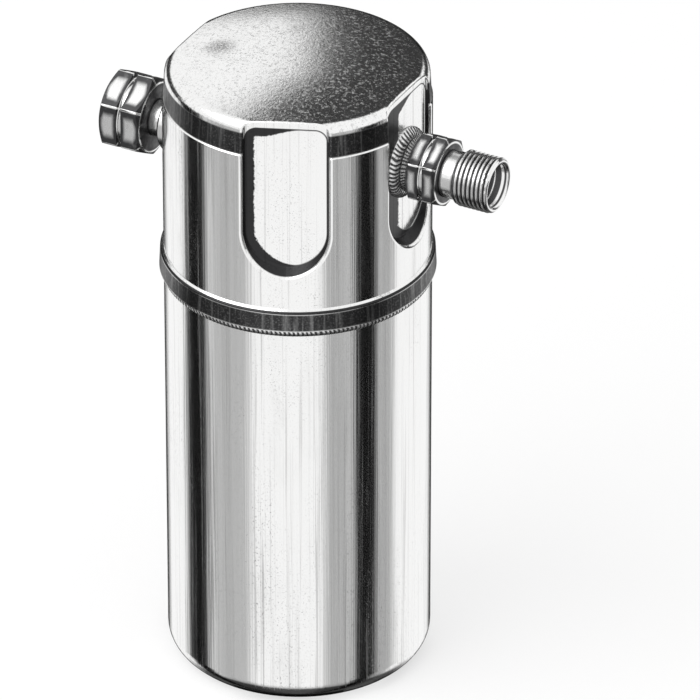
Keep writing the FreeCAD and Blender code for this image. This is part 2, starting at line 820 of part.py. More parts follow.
def make_suction_tube():
    """Bends the pick-up tube: in from the outlet, down, round the bottom and up under the baffle."""
    body = new_body("suction_tube")
    leg = size.tube_leg_offset
    start = OUTLET_INNER_END + size.tube_socket_depth
    path = Outline(new_sketch(body, "tube_path"), start, OUTLET_HEIGHT)
    path.line(leg + size.tube_top_bend, OUTLET_HEIGHT)
    path.arc(leg, OUTLET_HEIGHT - size.tube_top_bend, size.tube_top_bend)
    path.line(leg, size.tube_bend_height)
    path.arc(0, size.tube_bend_height - leg, leg, left=False)
    path.arc(-leg, size.tube_bend_height, leg, left=False)
    path.line(-leg, TUBE_MOUTH)
    spine = path.draw()
    section = raised_sketch(body, "tube_section", start, "YZ_Plane")
    add_circle(section, 0, OUTLET_HEIGHT, size.tube_radius)
    add_circle(section, 0, OUTLET_HEIGHT, size.tube_radius - size.tube_wall)
    doc.recompute()
    pipe = body.newObject("PartDesign::AdditivePipe", "tube_bent")
    pipe.Profile = section
    pipe.Spine = (spine, [f"Edge{number + 1}" for number in range(len(path.bends))])
    doc.recompute()
    bleed = raised_sketch(body, "bleed_circle", size.tube_bend_height - leg)
    add_circle(bleed, 0, 0, size.bleed_hole_radius)
    pocket(body, "bleed_hole", bleed, size.tube_radius + OVERRUN)
    return body


def make_tube_braze():
    """Lays the braze fillet where the tube enters the outlet fitting."""
    body = new_body("tube_braze")
    leg = size.braze_leg
    outline = Outline(new_sketch(body, "braze_section"), size.tube_radius, OUTLET_INNER_END - leg)
    outline.arc(size.tube_radius + leg, OUTLET_INNER_END, leg * WELD_BULGE)
    outline.line(size.tube_radius, OUTLET_INNER_END)
    revolve(body, "braze_fillet", outline.close())
    lay_along_x(body, OUTLET_HEIGHT)
    return body


def make_baffle():
    """Stamps the deflector: flange, skirt and cone, with its windows and the tube's hole."""
    body = new_body("baffle")
    sheet = size.baffle_thickness
    # The underside's corners stand in by these, which keeps the cone near its sheet's thickness
    inward = sheet / 4
    downward = sheet / 2
    skirt = BAFFLE_SKIRT
    cone = skirt - size.baffle_cone_width
    flange = BELL_BORE - size.baffle_gap
    top = BAFFLE_TOP
    outline = Outline(new_sketch(body, "baffle_section"), 0, top - sheet)
    outline.line(cone - inward, top - sheet)
    outline.line(skirt - sheet, BAFFLE_SKIRT_TOP - downward)
    outline.line(skirt - sheet, LOWER_SHELL_TOP)
    outline.line(flange, LOWER_SHELL_TOP)
    outline.line(flange, BAFFLE_FLANGE_TOP)
    outline.line(skirt, BAFFLE_FLANGE_TOP)
    outline.line(skirt, BAFFLE_SKIRT_TOP)
    outline.line(cone, top)
    outline.line(0, top)
    stamped = revolve(body, "baffle_stamped", outline.close())
    bends = circles_at(stamped, top, cone)
    bends += circles_at(stamped, BAFFLE_SKIRT_TOP, skirt)
    round_edges(body, "baffle_bends", stamped, bends, size.baffle_bend_radius)
    hole = raised_sketch(body, "tube_hole_circle", top)
    add_circle(hole, size.tube_leg_offset, 0, size.grommet_hole_radius)
    pocket(body, "tube_hole", hole, sheet + OVERRUN)
    window = raised_sketch(body, "window_circle", top)
    add_circle(window, skirt - size.window_inset, 0, size.window_radius)
    opening = pocket(body, "window", window, top - LOWER_SHELL_TOP)
    ring_pattern(body, "windows", opening, size.window_count)
    return body


def make_baffle_grommet():
    """Moulds the grommet that holds the tube in the baffle."""
    body = new_body("baffle_grommet")
    flange = size.grommet_flange_radius
    top = BAFFLE_TOP
    under = top - size.baffle_thickness
    foot = under - size.grommet_flange_height
    outline = Outline(new_sketch(body, "grommet_section"), size.tube_radius, foot)
    outline.line(flange, foot)
    outline.line(flange, under)
    outline.line(size.grommet_hole_radius, under)
    outline.line(size.grommet_hole_radius, top)
    outline.line(flange, top)
    outline.line(flange, top + size.grommet_flange_height)
    outline.line(size.tube_radius, top + size.grommet_flange_height)
    revolve(body, "grommet_moulded", outline.close())
    bind(body, "Placement.Base.x", size.tube_leg_offset)
    return body


def make_strainer_body():
    """Moulds the clip that grips the bend under the bleed hole."""
    body = new_body("strainer_body")
    bend_middle = size.tube_bend_height - size.tube_leg_offset
    disc = raised_sketch(body, "clip_disc", STRAINER_HEAD_FOOT)
    add_circle(disc, 0, 0, size.strainer_radius)
    pad(body, "clip_block", disc, bend_middle + size.strainer_wrap - STRAINER_HEAD_FOOT)
    saddle = new_sketch(body, "clip_saddle_section", "YZ_Plane")
    add_circle(saddle, 0, bend_middle, size.tube_radius + size.strainer_clearance)
    reach = size.strainer_radius.value
    axis_height = size.tube_bend_height
    ends = [Vector(side * reach, axis_height.value, 0) for side in (-1, 1)]
    axis = saddle.addGeometry(Part.LineSegment(*ends), True)
    saddle.addConstraint(Sketcher.Constraint("Horizontal", axis))
    place_point(saddle, "DistanceY", -1, axis, 1, axis_height)
    place_point(saddle, "DistanceX", -2, axis, 1, -size.strainer_radius)
    place_point(saddle, "DistanceX", -2, axis, 2, size.strainer_radius)
    cut = groove(body, "clip_saddle", saddle)
    cut.ReferenceAxis = (saddle, ["Axis0"])
    drain = raised_sketch(body, "clip_drain_circle", STRAINER_HEAD_FOOT)
    add_circle(drain, 0, 0, size.strainer_drain_radius)
    pocket(body, "clip_drain", drain, size.strainer_head + OVERRUN, outward=True)
    return body


def make_strainer_cup():
    """Moulds the strainer's foot, with a rim round the screen and posts inside it."""
    body = new_body("strainer_cup")
    rim_top = CUP_FLOOR_TOP + size.cup_rim_height
    outline = Outline(new_sketch(body, "cup_floor_section"), 0, CAN_FLOOR)
    outline.line(size.strainer_radius, CAN_FLOOR)
    outline.line(size.strainer_radius, rim_top)
    outline.line(size.screen_radius, rim_top)
    outline.line(size.screen_radius, CUP_FLOOR_TOP)
    outline.line(0, CUP_FLOOR_TOP)
    revolve(body, "cup_floor_moulded", outline.close())
    circle = raised_sketch(body, "post_circle", CUP_FLOOR_TOP)
    add_circle(circle, size.post_circle_radius, 0, size.post_radius)
    post = pad(body, "post", circle, STRAINER_HEAD_FOOT - CUP_FLOOR_TOP)
    ring_pattern(body, "posts", post, size.post_count)
    return body


def make_strainer_screen():
    """Rolls the mesh sleeve that stands in the cup."""
    body = new_body("strainer_screen")
    sleeve = raised_sketch(body, "screen_circles", CUP_FLOOR_TOP)
    add_circle(sleeve, 0, 0, size.screen_radius)
    add_circle(sleeve, 0, 0, size.screen_radius - size.screen_thickness)
    pad(body, "screen_sleeve", sleeve, STRAINER_HEAD_FOOT - CUP_FLOOR_TOP)
    return body


def make_bag(name, behind):
    """Fills one felt bag: a soft block with a flat sewn seam at its foot and head."""
    body = new_body(name)
    half = size.bag_half_width
    foot = size.bag_foot_height
    head = foot + size.bag_length
    outline = Outline(raised_sketch(body, f"{name}_outline", BAG_FACE, "XZ_Plane"), -half, foot)
    outline.line(half, foot)
    outline.line(half, head)
    outline.line(-half, head)
    block = pad(body, f"{name}_filling", outline.close(), size.bag_thickness)
    every_edge = [f"Edge{number}" for number in range(1, len(block.Shape.Edges) + 1)]
    round_edges(body, f"{name}_rounds", block, every_edge, size.bag_edge_radius)
    seam_half = half - size.bag_edge_radius
    seam_face = BAG_FACE + (size.bag_thickness - size.bag_seam_thickness) / 2
    seam_foot = foot - size.bag_seam_length
    seams = raised_sketch(body, f"{name}_seam_outline", seam_face, "XZ_Plane")
    outline = Outline(seams, -seam_half, seam_foot)
    outline.line(seam_half, seam_foot)
    outline.line(seam_half, head + size.bag_seam_length)
    outline.line(-seam_half, head + size.bag_seam_length)
    pad(body, f"{name}_seams", outline.close(), size.bag_seam_thickness)
    if behind:
        body.Placement = Placement(Vector(), Rotation(Vector(0, 0, 1), 180))
    return body


def make_bag_saddle():
    """Cuts the felt web that lies in the tube's bend and joins the bags."""
    body = new_body("bag_saddle")
    outside = size.tube_leg_offset - size.tube_radius - size.soft_clearance
    inside = outside - size.saddle_thickness
    reach = sine(size.saddle_half_angle)
    drop = cosine(size.saddle_half_angle)
    centre = size.tube_bend_height
    outline = Outline(new_sketch(body, "saddle_outline"), -(outside * reach), centre - outside * drop)
    outline.arc(outside * reach, centre - outside * drop, outside)
    outline.line(inside * reach, centre - inside * drop)
    outline.arc(-(inside * reach), centre - inside * drop, inside, left=False)
    pad(body, "saddle_web", outline.close(), BAG_FACE * 2, midplane=True)
    return body


def rounded_box(sketch, half_x, half_y, radius):
    """Draws a box about the origin with rounded corners."""
    straight_x = half_x - radius
    straight_y = half_y - radius
    outline = Outline(sketch, -straight_x, -half_y)
    outline.line(straight_x, -half_y)
    outline.arc(half_x, -straight_y, radius)
    outline.line(half_x, straight_y)
    outline.arc(straight_x, half_y, radius)
    outline.line(-straight_x, half_y)
    outline.arc(-half_x, straight_y, radius)
    outline.line(-half_x, -straight_y)
    return outline.close(radius)


def make_bag_tie():
    """Makes the strap round both bags, with its ratchet head in front."""
    body = new_body("bag_tie")
    strap = size.tie_thickness
    half_x = size.bag_half_width + size.soft_clearance
    half_y = BAG_FACE + size.bag_thickness + size.soft_clearance
    corner = size.bag_edge_radius + size.soft_clearance
    outer = raised_sketch(body, "tie_outside", TIE_FOOT)
    rounded_box(outer, half_x + strap, half_y + strap, corner + strap)
    pad(body, "tie_block", outer, size.tie_width)
    inner = raised_sketch(body, "tie_inside", TIE_FOOT)
    rounded_box(inner, half_x, half_y, corner)
    pocket(body, "tie_loop", inner, size.tie_width, outward=True)
    half_head = size.tie_head_size / 2
    middle = TIE_FOOT + size.tie_width / 2
    head = raised_sketch(body, "tie_head_outline", half_y, "XZ_Plane")
    outline = Outline(head, -half_head, middle - half_head)
    outline.line(half_head, middle - half_head)
    outline.line(half_head, middle + half_head)
    outline.line(-half_head, middle + half_head)
    pad(body, "tie_head", outline.close(), size.tie_head_depth)
    return body


def make_all():
    """Builds every piece and returns them by name."""
    make_upper_shell()
    make_lower_shell()
    make_girth_weld()
    make_outlet_fitting()
    make_collar_weld("outlet_weld", size.outlet_collar_radius, OUTLET_HEIGHT, outward=True)
    make_inlet_tube()
    make_collar_weld("inlet_weld", size.inlet_collar_radius, INLET_HEIGHT, outward=False)
    make_inlet_nut()
    make_inlet_seal()
    make_suction_tube()
    make_tube_braze()
    make_baffle()
    make_baffle_grommet()
    make_strainer_body()
    make_strainer_cup()
    make_strainer_screen()
    make_bag("desiccant_bag_front", behind=False)
    make_bag("desiccant_bag_back", behind=True)
    make_bag_saddle()
    make_bag_tie()
    doc.recompute()


def check_model(nodes):
    """Stops the run if any object failed or a piece isn't one sound solid."""
    failed = [item.Name for item in doc.Objects if {"Invalid", "Error"} & set(item.State)]
    if failed:
        raise RuntimeError(f"failed objects: {failed}")
    for name in nodes:
        shape = doc.getObject(name).Shape
        if shape.isNull() or not shape.isValid() or len(shape.Solids) != 1:
            raise RuntimeError(f"{name} isn't one valid solid")


def check_cuts():
    """Stops the run if a cut took nothing away."""
    for item in doc.Objects:
        if item.TypeId in ("PartDesign::Pocket", "PartDesign::Groove"):
            before = item.BaseFeature.Shape.Volume
            if before - item.Shape.Volume <= 0:
                raise RuntimeError(f"{item.Name} cut nothing")


NODES = (
    "upper_shell",
    "lower_shell",
    "girth_weld",
    "outlet_fitting",
    "outlet_weld",
    "inlet_tube",
    "inlet_weld",
    "inlet_nut",
    "inlet_seal",
    "suction_tube",
    "tube_braze",
    "baffle",
    "baffle_grommet",
    "strainer_body",
    "strainer_cup",
    "strainer_screen",
    "desiccant_bag_front",
    "desiccant_bag_back",
    "bag_saddle",
    "bag_tie",
)

make_all()
check_model(NODES)
check_cuts()
os.makedirs("parts", exist_ok=True)
for name in NODES:
    doc.getObject(name).Shape.exportStep(f"parts/{name}.step")
    print(name, round(doc.getObject(name).Shape.Volume, 1))
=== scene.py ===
"""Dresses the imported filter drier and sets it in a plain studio.

Lengths are in metres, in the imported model's own frame: +Z up the can, +X out along the outlet.
"""
from __future__ import annotations

import logging
import math
import operator
from collections.abc import Iterable
from dataclasses import dataclass
from enum import Enum
from functools import reduce
from typing import Union

import bmesh
import bpy
from mathutils import Matrix, Vector

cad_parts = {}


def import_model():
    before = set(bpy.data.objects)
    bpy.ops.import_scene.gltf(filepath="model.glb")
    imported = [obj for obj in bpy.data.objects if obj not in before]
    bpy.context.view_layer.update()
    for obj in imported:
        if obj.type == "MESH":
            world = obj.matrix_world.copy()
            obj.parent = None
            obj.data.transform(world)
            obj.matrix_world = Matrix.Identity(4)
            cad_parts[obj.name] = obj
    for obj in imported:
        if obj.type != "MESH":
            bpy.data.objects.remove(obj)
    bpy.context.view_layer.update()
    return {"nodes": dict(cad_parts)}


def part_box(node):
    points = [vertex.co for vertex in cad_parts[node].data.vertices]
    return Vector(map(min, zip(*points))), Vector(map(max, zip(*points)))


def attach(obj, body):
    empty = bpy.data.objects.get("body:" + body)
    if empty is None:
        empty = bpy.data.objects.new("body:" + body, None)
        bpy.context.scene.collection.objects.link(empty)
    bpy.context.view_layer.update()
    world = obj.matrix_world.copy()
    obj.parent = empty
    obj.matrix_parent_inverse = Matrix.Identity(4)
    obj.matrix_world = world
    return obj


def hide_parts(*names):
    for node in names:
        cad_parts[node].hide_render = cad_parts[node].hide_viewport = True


Colour = tuple[float, float, float]
Point = tuple[float, float, float]
Span = tuple[float, float]
Value = Union["Signal", bpy.types.NodeSocket, float, Colour]

VALLEY = "valley"
MM = 0.001
FULL_TURN = 2 * math.pi
SIXTH_TURN = FULL_TURN / 6
UNSTRETCHED = (1.0, 1.0, 1.0)
WHITE = (1.0, 1.0, 1.0)
MERGE_GAP = 1e-7
COPY_GAP = 1e-6
RING_SEED = 1e-7
VIEW_AZIMUTH = math.radians(28)

log = logging.getLogger("filter_drier")


class Body(Enum):
    """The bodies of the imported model."""

    CANISTER = "canister"
    NUT = "nut"


class Slot(Enum):
    """Names of material slots that new pieces are handed over with; nothing reads them."""

    WELD = "weld_metal"
    TURNED = "turned_aluminium"
    SCREEN = "screen_mesh"
    FELT = "bag_felt"


# Node trees


class Signal:
    """One socket's output, on which plain Python maths adds Math nodes."""

    def __init__(self, maker: NodeMaker, socket: bpy.types.NodeSocket) -> None:
        """Wraps a socket of the maker's tree."""
        self.maker = maker
        self.socket = socket

    def __add__(self, other: Value) -> Signal:
        """The sum with another value."""
        return self.maker.math("ADD", self, other)

    __radd__ = __add__

    def __sub__(self, other: Value) -> Signal:
        """The difference from another value."""
        return self.maker.math("SUBTRACT", self, other)

    def __rsub__(self, other: Value) -> Signal:
        """Another value less this one."""
        return self.maker.math("SUBTRACT", other, self)

    def __mul__(self, other: Value) -> Signal:
        """The product with another value."""
        return self.maker.math("MULTIPLY", self, other)

    __rmul__ = __mul__

    def __truediv__(self, other: Value) -> Signal:
        """This value over another."""
        return self.maker.math("DIVIDE", self, other)

    def __rtruediv__(self, other: Value) -> Signal:
        """Another value over this one."""
        return self.maker.math("DIVIDE", other, self)

    def __pow__(self, other: Value) -> Signal:
        """This value to a power."""
        return self.maker.math("POWER", self, other)

    def __neg__(self) -> Signal:
        """The value with its sign turned."""
        return self * -1.0

    def sine(self) -> Signal:
        """The sine of an angle in radians."""
        return self.maker.math("SINE", self)

    def cosine(self) -> Signal:
        """The cosine of an angle in radians."""
        return self.maker.math("COSINE", self)

    def size(self) -> Signal:
        """The value without its sign."""
        return self.maker.math("ABSOLUTE", self)

    def most(self, other: Value) -> Signal:
        """The greater of two values."""
        return self.maker.math("MAXIMUM", self, other)

    def least(self, other: Value) -> Signal:
        """The smaller of two values."""
        return self.maker.math("MINIMUM", self, other)

    def ease(self, low: float, high: float) -> Signal:
        """Rises smoothly from 0 at the first value to 1 at the second."""
        inputs = {"Value": self, "From Min": low, "From Max": high}
        return self.maker.signal("ShaderNodeMapRange", {"interpolation_type": "SMOOTHSTEP"}, inputs)

    def band(self, low: float, high: float, edge: float) -> Signal:
        """Is 1 between two values and 0 outside them, each edge as soft as given."""
        return self.ease(low - edge, low + edge) * (1 - self.ease(high - edge, high + edge))


def strongest(masks: Iterable[Signal]) -> Signal:
    """The greatest of several masks at each point."""
    return reduce(Signal.most, masks)


def distance(*offsets: Signal) -> Signal:
    """How far a point is from an axis or a centre, by its offsets from it."""
    return reduce(operator.add, (offset * offset for offset in offsets)) ** 0.5


@dataclass(frozen=True)
class Pattern:
    """Cloudy noise, and the two values that its marks are eased between.

    Scale is in cells to the metre. Detail is how many finer layers it has, and rough is how
    strong they are.
    """

    scale: float
    detail: float = 2.0
    rough: float = 0.5
    eased: Span = (0.0, 1.0)
    stretch: Point = UNSTRETCHED


class NodeMaker:
    """Adds nodes to one tree."""

    def __init__(self, tree: bpy.types.NodeTree) -> None:
        """Takes the tree to add to."""
        self.tree = tree

    def node(self, kind: str, settings: dict | None = None, inputs: dict | None = None) -> bpy.types.Node:
        """Adds a node, sets it, and then gives its sockets their values or links.

        Args:
            kind: the node's type.
            settings: its own settings.
            inputs: socket name or number to value, signal or socket.

        Returns:
            The node.
        """
        made = self.tree.nodes.new(kind)
        for key, setting in (settings or {}).items():
            setattr(made, key, setting)
        for key, value in (inputs or {}).items():
            self.feed(made.inputs[key], value)
        return made

    def feed(self, socket: bpy.types.NodeSocket, value: Value) -> None:
        """Links a signal or socket to an input, or sets its value.

        Args:
            socket: the input.
            value: what it gets.
        """
        if isinstance(value, Signal):
            self.tree.links.new(value.socket, socket)
        elif isinstance(value, bpy.types.NodeSocket):
            self.tree.links.new(value, socket)
        elif isinstance(value, tuple) and socket.type == "RGBA":
            socket.default_value = (*value, 1.0)
        else:
            socket.default_value = value

    def signal(
        self, kind: str, settings: dict | None = None, inputs: dict | None = None, output: int | str = 0
    ) -> Signal:
        """Adds a node as node() does and wraps one of its outputs."""
        return Signal(self, self.node(kind, settings, inputs).outputs[output])

    def math(self, operation: str, *values: Value) -> Signal:
        """Adds a Math node."""
        return self.signal("ShaderNodeMath", {"operation": operation}, dict(enumerate(values)))

    def split(self, vector: Signal) -> tuple[Signal, Signal, Signal]:
        """Separates a vector into its three values."""
        parts = self.node("ShaderNodeSeparateXYZ", None, {0: vector})
        return tuple(Signal(self, socket) for socket in parts.outputs)

    def join(self, x: Value, y: Value, z: Value) -> Signal:
        """Combines three values into a vector."""
        return self.signal("ShaderNodeCombineXYZ", None, {0: x, 1: y, 2: z})

    def scaled(self, vector: Signal, scale: Value) -> Signal:
        """A vector times a number."""
        return self.signal("ShaderNodeVectorMath", {"operation": "SCALE"}, {0: vector, "Scale": scale})

    def noise(self, place: Signal, pattern: Pattern) -> Signal:
        """Reads a pattern at a point.

        Args:
            place: the point.
            pattern: the noise to read there.

        Returns:
            The noise, from 0 to 1.
        """
        if pattern.stretch != UNSTRETCHED:
            place = self.signal("ShaderNodeMapping", None, {"Vector": place, "Scale": pattern.stretch})
        inputs = {"Scale": pattern.scale, "Detail": pattern.detail, "Roughness": pattern.rough}
        return self.signal("ShaderNodeTexNoise", None, {"Vector": place, **inputs})

    def marks(self, place: Signal, pattern: Pattern) -> Signal:
        """A pattern at a point, eased between its two values."""
        return self.noise(place, pattern).ease(*pattern.eased)


class Shader(NodeMaker):
    """Builds one material."""

    def __init__(self, name: str) -> None:
        """Starts an empty material.

        Args:
            name: the material's name.
        """
        self.material = bpy.data.materials.new(name)
        self.material.use_nodes = True
        super().__init__(self.material.node_tree)
        self.tree.nodes.clear()

    def place(self) -> Signal:
        """The point on the surface, in metres from the frame's origin."""
        return self.signal("ShaderNodeTexCoord", output="Object")

    def blend(self, factor: Value, low: Value, high: Value) -> Signal:
        """Mixes two colours.

        Args:
            factor: 0 for the first colour, 1 for the second.
            low: the first colour.
            high: the second colour.

        Returns:
            The mixed colour.
        """
        mix = self.node("ShaderNodeMix", {"data_type": "RGBA"}, {"Factor": factor})
        first, second = (socket for socket in mix.inputs if socket.type == "RGBA")
        self.feed(first, low)
        self.feed(second, high)
        return Signal(self, next(socket for socket in mix.outputs if socket.type == "RGBA"))

    def bump(self, height: Signal, depth: float) -> Signal:
        """Turns a height into a normal, where a height of 1 stands for the real depth."""
        return self.signal("ShaderNodeBump", None, {"Strength": 1.0, "Distance": depth, "Height": height})

    def finish(self, inputs: dict[str, Value]) -> bpy.types.Material:
        """Ends the material in a Principled shader.

        Args:
            inputs: the shader's input names and what they get.

        Returns:
            The material.
        """
        shader = self.node("ShaderNodeBsdfPrincipled", None, inputs)
        self.node("ShaderNodeOutputMaterial", None, {"Surface": shader.outputs[0]})
        return self.material


# Finishes


@dataclass(frozen=True)
class Mark:
    """How strongly a mark changes the surface's colour, roughness and relief."""

    colour: float = 0.0
    rough: float = 0.0
    relief: float = 0.0


@dataclass(frozen=True)
class Finish:
    """A finish that its own paint method describes."""

    name: str

    def build(self) -> bpy.types.Material:
        """Makes the material."""
        shader = Shader(self.name)
        return shader.finish(self.paint(shader, shader.place()))


@dataclass(frozen=True)
class FlatFeet:
    """Painted shade along the feet of the three pressed flats, dark where a side light's shadow falls.

    It is widest on each flat's left side, seen from outside, and thin on the other. Each flat is
    given as (the angle that it faces, the painted shade's greatest width).
    """

    flats: tuple[Span, ...] = ((0.0, 5.2 * MM), (math.radians(-67), 3.3 * MM), (math.pi, 3.3 * MM))
    in_front: Span = (39.1 * MM, 39.6 * MM)
    skin: float = 45.0 * MM
    sunk_by: Span = (0.8 * MM, 1.2 * MM)
    half_width: float = 13.6 * MM
    foot: float = 170.5 * MM
    top: float = 222.4 * MM
    corner: float = 4.0 * MM
    thinnest: float = 0.45 * MM
    widening: Span = (-5.0 * MM, 9.0 * MM)
    edge: float = 0.5 * MM
    lip_edge: Span = (0.1 * MM, 0.4 * MM)
    lip_top: Span = (0.01 * MM, 0.4 * MM)
    grit: Pattern = Pattern(900.0, 4.0, 0.75)
    ragged: float = 2.2 * MM

    def mask(self, shader: Shader, place: Signal) -> Signal:
        """Works out where the painted shade lies.

        Args:
            shader: the material's maker.
            place: the point on the surface.

        Returns:
            The painted shade's mask.
        """
        x, y, z = shader.split(place)
        sunk = (self.skin - distance(x, y)).ease(*self.sunk_by)
        below = (self.foot + self.half_width - z).most(0.0)
        grit = shader.noise(place, self.grit) - 0.5
        over_top = (self.corner - (self.top - z)).most(0.0)
        feet = []
        for angle, widest in self.flats:
            across = y * math.cos(angle) - x * math.sin(angle)
            out = x * math.cos(angle) + y * math.sin(angle)
            over_side = (self.corner - (self.half_width - distance(across, below))).most(0.0)
            inside = self.corner - distance(over_side, over_top)
            side = (-across).ease(*self.widening)
            width = self.thinnest + (widest - self.thinnest) * side
            # Painted shade: widest on the flat's left, as a shadow cast from that side would be.
            dark = (width - inside + grit * side * self.ragged).ease(0.0, self.edge)
            lip = 1 - (-inside).ease(*self.lip_edge) * over_top.ease(*self.lip_top)
            feet.append(dark * lip * out.ease(*self.in_front))
        return strongest(feet) * sunk


@dataclass(frozen=True)
class Band:
    """A band round the can, by its two heights and the radius that it begins outside."""

    low: float
    high: float
    inside: float
    edge: float
    inside_edge: float

    def mask(self, height_up: Signal, from_axis: Signal) -> Signal:
        """Is 1 on the band, by the height over the floor and the distance from the can's axis."""
        outside = from_axis.ease(self.inside, self.inside + self.inside_edge)
        return height_up.band(self.low, self.high, self.edge) * outside


@dataclass(frozen=True)
class DrawnAluminium(Finish):
    """Bare deep-drawn sheet: die lines up the wall, handling smudges, fine pits and painted shade.

    The painted shade lies along the flats' feet, on the ledge over the bell, and on the neck and the
    bell, as near-black colour where the shading falls.
    """

    name: str = "drawn_sheet"
    clean: Colour = (0.90, 0.90, 0.895)
    handled: Colour = (0.50, 0.50, 0.495)
    pitted: Colour = (0.20, 0.20, 0.20)
    # Painted shade: the near-black colour that the painted shade mixes in.
    shade_colour: Colour = (0.022, 0.022, 0.023)
    flat_feet: FlatFeet = FlatFeet()
    # Painted shade: the ledge line, the neck and the bell are darkened as bands of shading.
    ledge: Band = Band(155.10 * MM, 155.95 * MM, 45.1 * MM, 0.08 * MM, 0.10 * MM)
    neck: Band = Band(213.15 * MM, 221.0 * MM, 43.3 * MM, 0.35 * MM, 0.35 * MM)
    bell: Band = Band(148.9 * MM, 154.95 * MM, 44.9 * MM, 0.35 * MM, 0.35 * MM)
    lines: Pattern = Pattern(1 / (1.5 * MM), 3.0, 0.6, (0.47, 0.68), (1.0, 1.0, 0.008))
    hairs: Pattern = Pattern(1 / (0.62 * MM), 1.0, 0.5, (0.42, 0.62), (1.0, 1.0, 0.008))
    clouds: Pattern = Pattern(60.0, 6.0, 0.68, (0.50, 0.78), (1.0, 1.0, 0.30))
    patches: Pattern = Pattern(62.0, 4.0, 0.6, (0.44, 0.70), (1.0, 1.0, 0.22))
    grit: Pattern = Pattern(1700.0, 3.0, 0.75, (0.58, 0.66))
    grain: Pattern = Pattern(800.0, 4.0, 0.8, (0.52, 0.62))
    polish: float = 0.13
    smudge: Mark = Mark(colour=0.16, rough=0.06)
    score: Mark = Mark(colour=0.55, rough=0.18)
    pit: Mark = Mark(colour=0.70, rough=0.20, relief=-0.14)
    # Painted shade: how strongly the painted shade darkens the colour and roughens it.
    shade_mark: Mark = Mark(colour=0.98, rough=0.20)
    dome_grain: Mark = Mark(rough=0.30)
    line_relief: float = 0.62
    hair_relief: float = 0.36
    line_depth: float = 0.052 * MM
    streak_lines: Span = (0.50, 0.66)
    streak_grit: Span = (0.52, 0.66)
    streak_share: float = 0.14
    streak_smudge: float = 0.04
    least_pitted: float = 0.10
    least_scored: float = 0.08
    spot_place: Point = (-26.3 * MM, -5.5 * MM, 226.7 * MM)
    spot_radius: float = 7.5 * MM
    spot_fade: Span = (0.0, 0.8)
    spot_grit: Span = (0.36, 0.58)
    dome_foot: Span = (224.0 * MM, 226.0 * MM)

    def spot(self, shader: Shader, place: Signal, grit: Signal) -> Signal:
        """A worn spot on the dome, fading outwards into separate pits.

        Args:
            shader: the material's maker.
            place: the point on the surface.
            grit: the pits' noise.

        Returns:
            The spot's mask.
        """
        ends = {0: place, 1: self.spot_place}
        away = shader.signal("ShaderNodeVectorMath", {"operation": "DISTANCE"}, ends, "Value")
        inside = 1 - (away / self.spot_radius).least(1.0)
        return inside.ease(*self.spot_fade) * grit.ease(*self.spot_grit)

    def paint(self, shader: Shader, place: Signal) -> dict[str, Value]:
        """Works out the shader's inputs.

        Args:
            shader: the material's maker.
            place: the point on the surface.

        Returns:
            Each input's name and value.
        """
        lines = shader.noise(place, self.lines)
        hairs = shader.noise(place, self.hairs)
        smudge = shader.marks(place, self.clouds)
        grit = shader.noise(place, self.grit)
        patches = shader.marks(place, self.patches)
        pitted = self.least_pitted + (1 - self.least_pitted) * patches
        pits = (grit.ease(*self.grit.eased) * pitted).most(self.spot(shader, place, grit))
        x, y, height_up = shader.split(place)
        from_axis = distance(x, y)
        wall = 1 - height_up.ease(*self.dome_foot)
        streaks = lines.ease(*self.streak_lines) + grit.ease(*self.streak_grit)
        shade_gaps = streaks * self.streak_share + smudge * self.streak_smudge
        # Painted shade: the neck and bell bands, broken by streaks, with the ledge line and the flats' feet.
        bands = strongest(band.mask(height_up, from_axis) for band in (self.neck, self.bell))
        ledge = self.ledge.mask(height_up, from_axis)
        shade_mask = self.flat_feet.mask(shader, place).most(ledge).most(bands * (1 - shade_gaps))
        grain = shader.marks(place, self.grain) * (1 - wall)
        scored = self.least_scored + (1 - self.least_scored) * wall
        scores = lines.ease(*self.lines.eased) * hairs.ease(*self.hairs.eased) * scored
        worn = smudge * self.smudge.colour + scores * self.score.colour
        colour = shader.blend(worn, self.clean, self.handled)
        colour = shader.blend(pits * self.pit.colour, colour, self.pitted)
        rough = self.polish + smudge * self.smudge.rough + scores * self.score.rough
        rough = rough + pits * self.pit.rough + shade_mask * self.shade_mark.rough + grain * self.dome_grain.rough
        height = lines * self.line_relief + hairs * self.hair_relief + pits * self.pit.relief
        return {
            "Base Color": shader.blend(shade_mask * self.shade_mark.colour, colour, self.shade_colour),
            "Metallic": 1.0,
            "Roughness": rough,
            "Normal": shader.bump(height, self.line_depth),
        }


@dataclass(frozen=True)
class BarPlace:
    """Where a point of a turned bar lies, and how smeared it is there.

    Out is its distance from the can's axis, radius its distance from the bar's own axis, and
    sixths its turn round that axis in sixths of a turn.
    """

    out: Signal
    radius: Signal
    sixths: Signal
    smears: Signal

    def broken(self, share: float, gain: float) -> Signal:
        """A mask that the smears break up, at most 1."""
        return (share + gain * self.smears).least(1.0)


